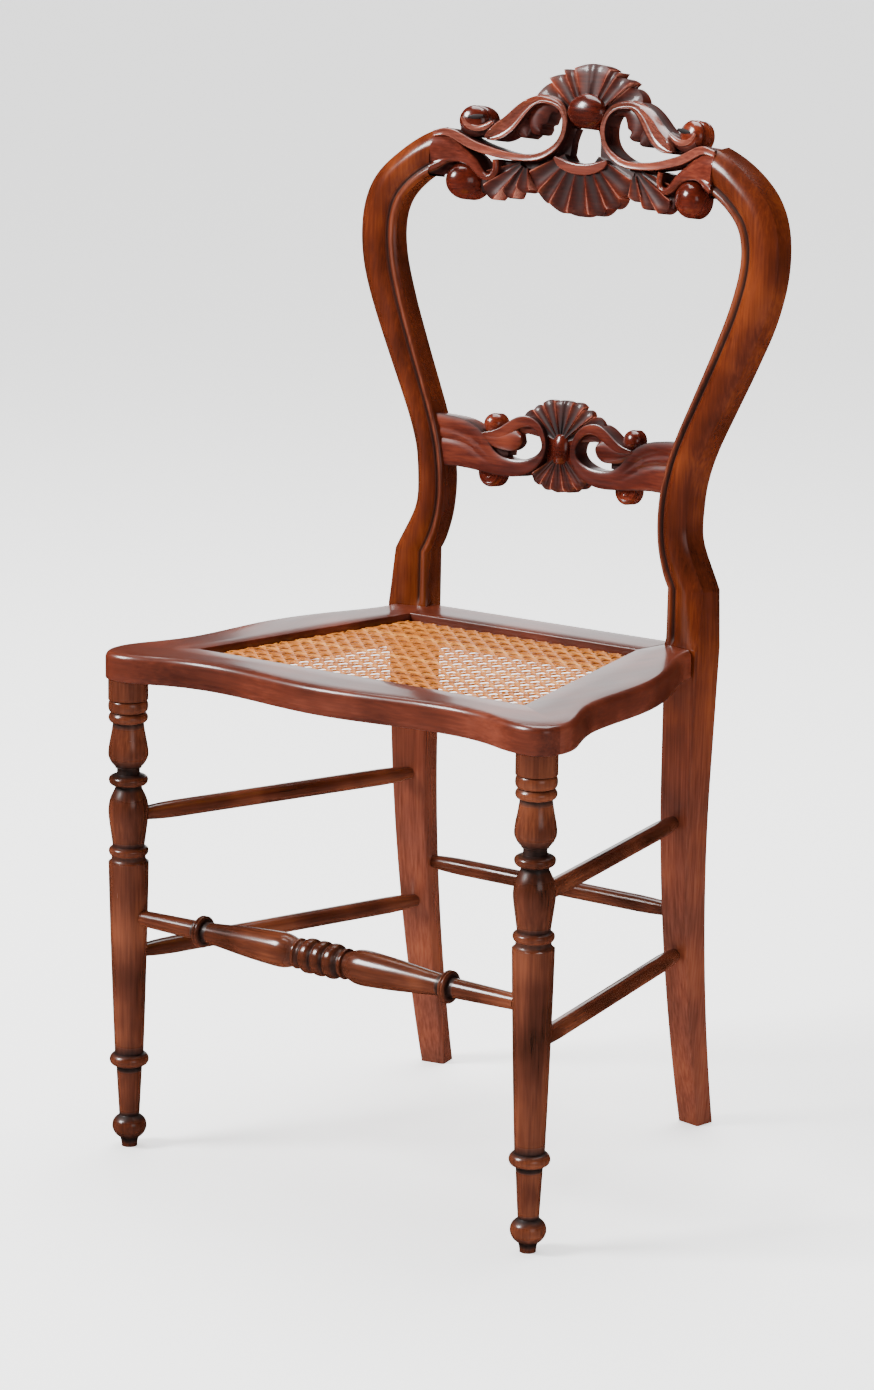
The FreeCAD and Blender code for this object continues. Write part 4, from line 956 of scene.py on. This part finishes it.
def lathe(profile, start, end, count=72):
    """A turned piece from (radius, distance) stations along a line.

    Dark polish and painted shade lie where the wood within 5 mm stands higher by more than 0.8 mm.
    """
    start, end = np.array(start, float), np.array(end, float)
    way = (end - start) / np.linalg.norm(end - start)
    side = np.cross(way, (0.0, 0.0, 1.0) if abs(way[2]) < 0.9 else (1.0, 0.0, 0.0))
    side /= np.linalg.norm(side)
    up = np.cross(way, side)
    radii = np.array([radius for radius, _ in profile])
    places = np.array([place for _, place in profile])
    dark = []
    # Painted shade with dark polish in the quirks, beside wood that stands higher.
    for radius, place in profile:
        near = radii[np.abs(places - place) < 5.0]
        dark.append(min(CORNER_DARK, max(0, (near.max() - radius - 0.8) / 4.0)))
    rings = [[start + way * place + (side * math.cos(turn) + up * math.sin(turn)) * radius
              for turn in np.linspace(0, math.tau, count + 1)[:-1]] for radius, place in profile]
    return np.array(rings), skin(rings), np.repeat(dark, count)


# The fourth colour is the rubbed one, which also paints highlights, and the fifth is the dark
# polish, which also paints shade.
leg_polish = polished_mahogany("French-polished mahogany stain on the turnings", "#281006",
                               "#4c2416", "#6c3822", "#a0644a", "#0c0402", 0.2, 0.35)
leg_y = LEG_BACK - DEPTH / 2
right_leg = lathe(turned_profile(LEG_PROFILE), (LEG_SPREAD, leg_y, 0), (LEG_SPREAD, leg_y, LEG_TOP))
piece("front_leg_right_turning", [right_leg], (0, 0, 1), "front_leg_right", leg_polish, 30)
piece("front_leg_left_turning", [flip(right_leg)], (0, 0, 1), "front_leg_left", leg_polish, 30)


# Front stretcher
# One beech turning let into both front legs: three beads in the middle, a disc and a vase
# on each side of them, then a double ring and a plain dowel.

FRONT_STRETCHER_HEIGHT = 212.0
STRETCHER_HALF = 199.5
HALF_STRETCHER = (          # distance from the middle, radius
    (0, 15.2), (3.2, 14.7), (5.6, 12.6), (6.4, 12.2), (6.4, 12.2), (7.2, 12.6), (9.6, 14.7),
    (12.8, 15.2), (16, 14.6), (18.4, 12.4), (19.2, 12), (19.2, 12), (21.6, 11.2),
    (23.6, 12.2), (23.8, 13), (23.8, 13), (25, 13.4), (26.2, 13), (26.4, 10.9),
    (26.4, 10.9), (30, 12), (38, 14.6), (47, 15.2), (58, 14.7), (80, 13.2),
    (104, 10.9), (122, 9.4), (128.4, 9.3), (128.4, 9.3), (128.8, 12.8), (130.2, 14),
    (131.4, 13), (131.5, 12.2), (131.5, 12.2), (131.6, 13), (132.9, 14), (134.3, 12.8),
    (134.7, 8.6), (134.7, 8.6), (150, 8.2), (180, 7.5), (199.5, 6.9))
half_profile = turned_profile([(radius, place) for place, radius in HALF_STRETCHER])
whole_profile = [(r, STRETCHER_HALF - x) for r, x in reversed(half_profile)]
whole_profile += [(r, STRETCHER_HALF + x) for r, x in half_profile[1:]]
stretcher = lathe(whole_profile, (-STRETCHER_HALF, leg_y, FRONT_STRETCHER_HEIGHT),
                  (STRETCHER_HALF, leg_y, FRONT_STRETCHER_HEIGHT))
piece("front_stretcher_turning", [stretcher], (1, 0, 0), "front_stretcher", leg_polish, 30)


# Side and back stretchers
# Five plain bars of the same stained beech, turned with a taper towards each end. The ends
# are glued into holes in the legs.

BAR_TAPER = 34.0


def bar(name, start, end):
    """A plain stretcher between two points on the legs' faces."""
    length = math.dist(start, end)
    profile = ((5.9, -1.0), (5.9, 0.5), (6.8, 10.0), (7.4, 20.0), (7.8, BAR_TAPER),
               (7.8, length / 2), (7.8, length - BAR_TAPER), (7.4, length - 20),
               (6.8, length - 10), (5.9, length - 0.5), (5.9, length + 1))
    piece(name + "_turning", [lathe(profile, start, end, 48)], Vector(end) - Vector(start),
          name, leg_polish, 30)


def post_spot(across_share, back_share, height):
    """A point of the right post's leg by shares of its width and thickness."""
    width, thick = leg_size(height)
    return set_post((across_share * width - SPLAY_IN * splay(height),
                     splay(height) + back_share * thick, height))


MIRROR = np.array((-1, 1, 1))
for level, front_height, back_height, reach in (("upper", 302.5, 291.0, 17.4),
                                                ("lower", 178.0, 166.5, 15.7)):
    target = post_spot(0.5, 0.0, back_height)
    axis = np.array([LEG_SPREAD, leg_y, front_height])
    start = axis + (target - axis) / np.linalg.norm(target - axis) * reach
    bar("side_stretcher_" + level + "_right", start, target)
    bar("side_stretcher_" + level + "_left", start * MIRROR, target * MIRROR)
inner = post_spot(0.0, 0.5, 204.0)
bar("back_stretcher", inner * MIRROR, inner)


# Hidden joints
# Loose tongues and slip tenons of bare beech, glued inside the seat's corners, the side
# rails and the crest. They can't be seen and keep their plain shape.

def bare_beech():
    """Beech as it was sawn: pale, dull and pinkish, with flecks about 2 mm long."""
    made = new_material("Bare sawn beech")
    place = add(made, "TexCoord").outputs["Object"]
    fleck = add(made, "TexNoise", {"Scale": per_metre(2), "Detail": 2}, Vector=place)
    colour = add(made, "ValToRGB",
                 {"stops": ((0.35, "#9a7450"), (0.5, "#b8925f"), (0.65, "#d0ad7c"))}, i0=fleck)
    body = add(made, "BsdfPrincipled", {"IOR": 1.5, "Roughness": 0.7},
               Base_Color=colour)
    add(made, "OutputMaterial", Surface=body)
    return made


sawn_beech = bare_beech()
for name in ("crest_slip_tenons", "seat_slip_tenons", "seat_corner_tongues"):
    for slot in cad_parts[name].material_slots:
        slot.material = sawn_beech


# Floor, light and camera
# A roll of white paper lies under the chair and sweeps up behind it. A key light stands
# at the left in front, as the photograph has it, with a large soft one above, a weak fill
# at the right, and one behind that shows only as the sheen on the polish.

PHOTO_AZIMUTH, PHOTO_PITCH, PHOTO_ROLL = (math.radians(angle) for angle in (35.80, 12.08, 0.81))


def plain_white():
    """Matt white studio paper with no sheen, lit from behind so that it looks white."""
    made = new_material("Matt white studio paper")
    body = add(made, "BsdfPrincipled", {"Base Color": linear("#f7f7f6"),
                                        "Roughness": 0.9,
                                        "Specular IOR Level": 0.0,
                                        "Emission Color": linear("#ffffff"),
                                        "Emission Strength": 1.1})
    add(made, "OutputMaterial", Surface=body)
    return made


def paper_sweep():
    """The paper as a strip that runs away from the camera and then turns up, in metres.

    It is kept out of the polish's reflections, which it would turn grey.
    """
    away = np.array([-math.sin(PHOTO_AZIMUTH), math.cos(PHOTO_AZIMUTH), 0.0])
    side = np.array([away[1], -away[0], 0.0])
    bend, start, wall = 3.0, 6.5, 7.0
    profile = [(-12.0, 0.0)]
    for turn in np.linspace(0, math.pi / 2, 25):
        profile.append((start + bend * math.sin(turn), bend * (1 - math.cos(turn))))
    profile.append((start + bend, wall))
    spots = [tuple(away * far + side * reach + (0.0, 0.0, high))
             for far, high in profile for reach in (-14.0, 14.0)]
    faces = [(2 * i, 2 * i + 1, 2 * i + 3, 2 * i + 2) for i in range(len(profile) - 1)]
    sheet = bpy.data.meshes.new("studio_paper")
    sheet.from_pydata(spots, [], faces)
    sheet.shade_smooth()
    sheet.materials.append(plain_white())
    made = bpy.data.objects.new("studio_paper", sheet)
    bpy.context.scene.collection.objects.link(made)
    made.visible_glossy = False


paper_sweep()
world = bpy.data.worlds.new("studio_light")
bpy.context.scene.world = world
world.use_nodes = True
room = world.node_tree.nodes["Background"]
room.inputs["Color"].default_value = linear("#ffffff")
room.inputs["Strength"].default_value = 0.36
world.cycles_visibility.glossy = False


def softbox(name, place, aim, size, power):
    """A square area light that faces a point."""
    lamp = bpy.data.lights.new(name, "AREA")
    lamp.size = size
    lamp.energy = power
    made = bpy.data.objects.new(name, lamp)
    made.location = place
    made.rotation_mode = "QUATERNION"
    made.rotation_quaternion = (Vector(aim) - Vector(place)).to_track_quat("-Z", "Y")
    made.visible_camera = False
    bpy.context.scene.collection.objects.link(made)
    return made


softbox("key_softbox", (-2.3, -2.6, 3.0), (0, 0, 0.5), 1.3, 345)
softbox("top_softbox", (-0.4, 1.0, 3.6), (0, 0.2, 0.3), 2.6, 210)
softbox("fill_softbox", (3.2, -1.6, 1.4), (0, 0, 0.6), 1.6, 14)
wall = softbox("wall_softbox", (-1.6, 2.4, 0.85), (0, 0, 0.55), 0.9, 6)
wall.visible_diffuse = False

FRAME_HIGH = 1390           # the picture's height, in pixels as the next three are
LENS_PIXELS = 4011.96
MIDDLE = (437.0, 695.0)
AXIS = (445.14, 651.84)     # where the lens's axis meets the picture
camera_data = bpy.data.cameras.new("camera")
camera_data.sensor_width = 36.0
camera_data.lens = LENS_PIXELS / FRAME_HIGH * camera_data.sensor_width
camera_data.shift_x = -(AXIS[0] - MIDDLE[0]) / FRAME_HIGH
camera_data.shift_y = (AXIS[1] - MIDDLE[1]) / FRAME_HIGH
camera_data.clip_end = 100
camera = bpy.data.objects.new("camera", camera_data)
bpy.context.scene.collection.objects.link(camera)
back = Vector((math.sin(PHOTO_AZIMUTH) * math.cos(PHOTO_PITCH),
               -math.cos(PHOTO_AZIMUTH) * math.cos(PHOTO_PITCH), math.sin(PHOTO_PITCH)))
right = (-back).cross(Vector((0, 0, 1))).normalized()
up = right.cross(-back)
turned_right = math.cos(PHOTO_ROLL) * right + math.sin(PHOTO_ROLL) * up
turned_up = -math.sin(PHOTO_ROLL) * right + math.cos(PHOTO_ROLL) * up
distance = 3.48819
look = Vector((0, -0.02155, 0.45))
turn = Matrix((turned_right, turned_up, back)).transposed().to_4x4()
camera.matrix_world = Matrix.Translation(look + back * distance) @ turn
bpy.context.scene.camera = camera
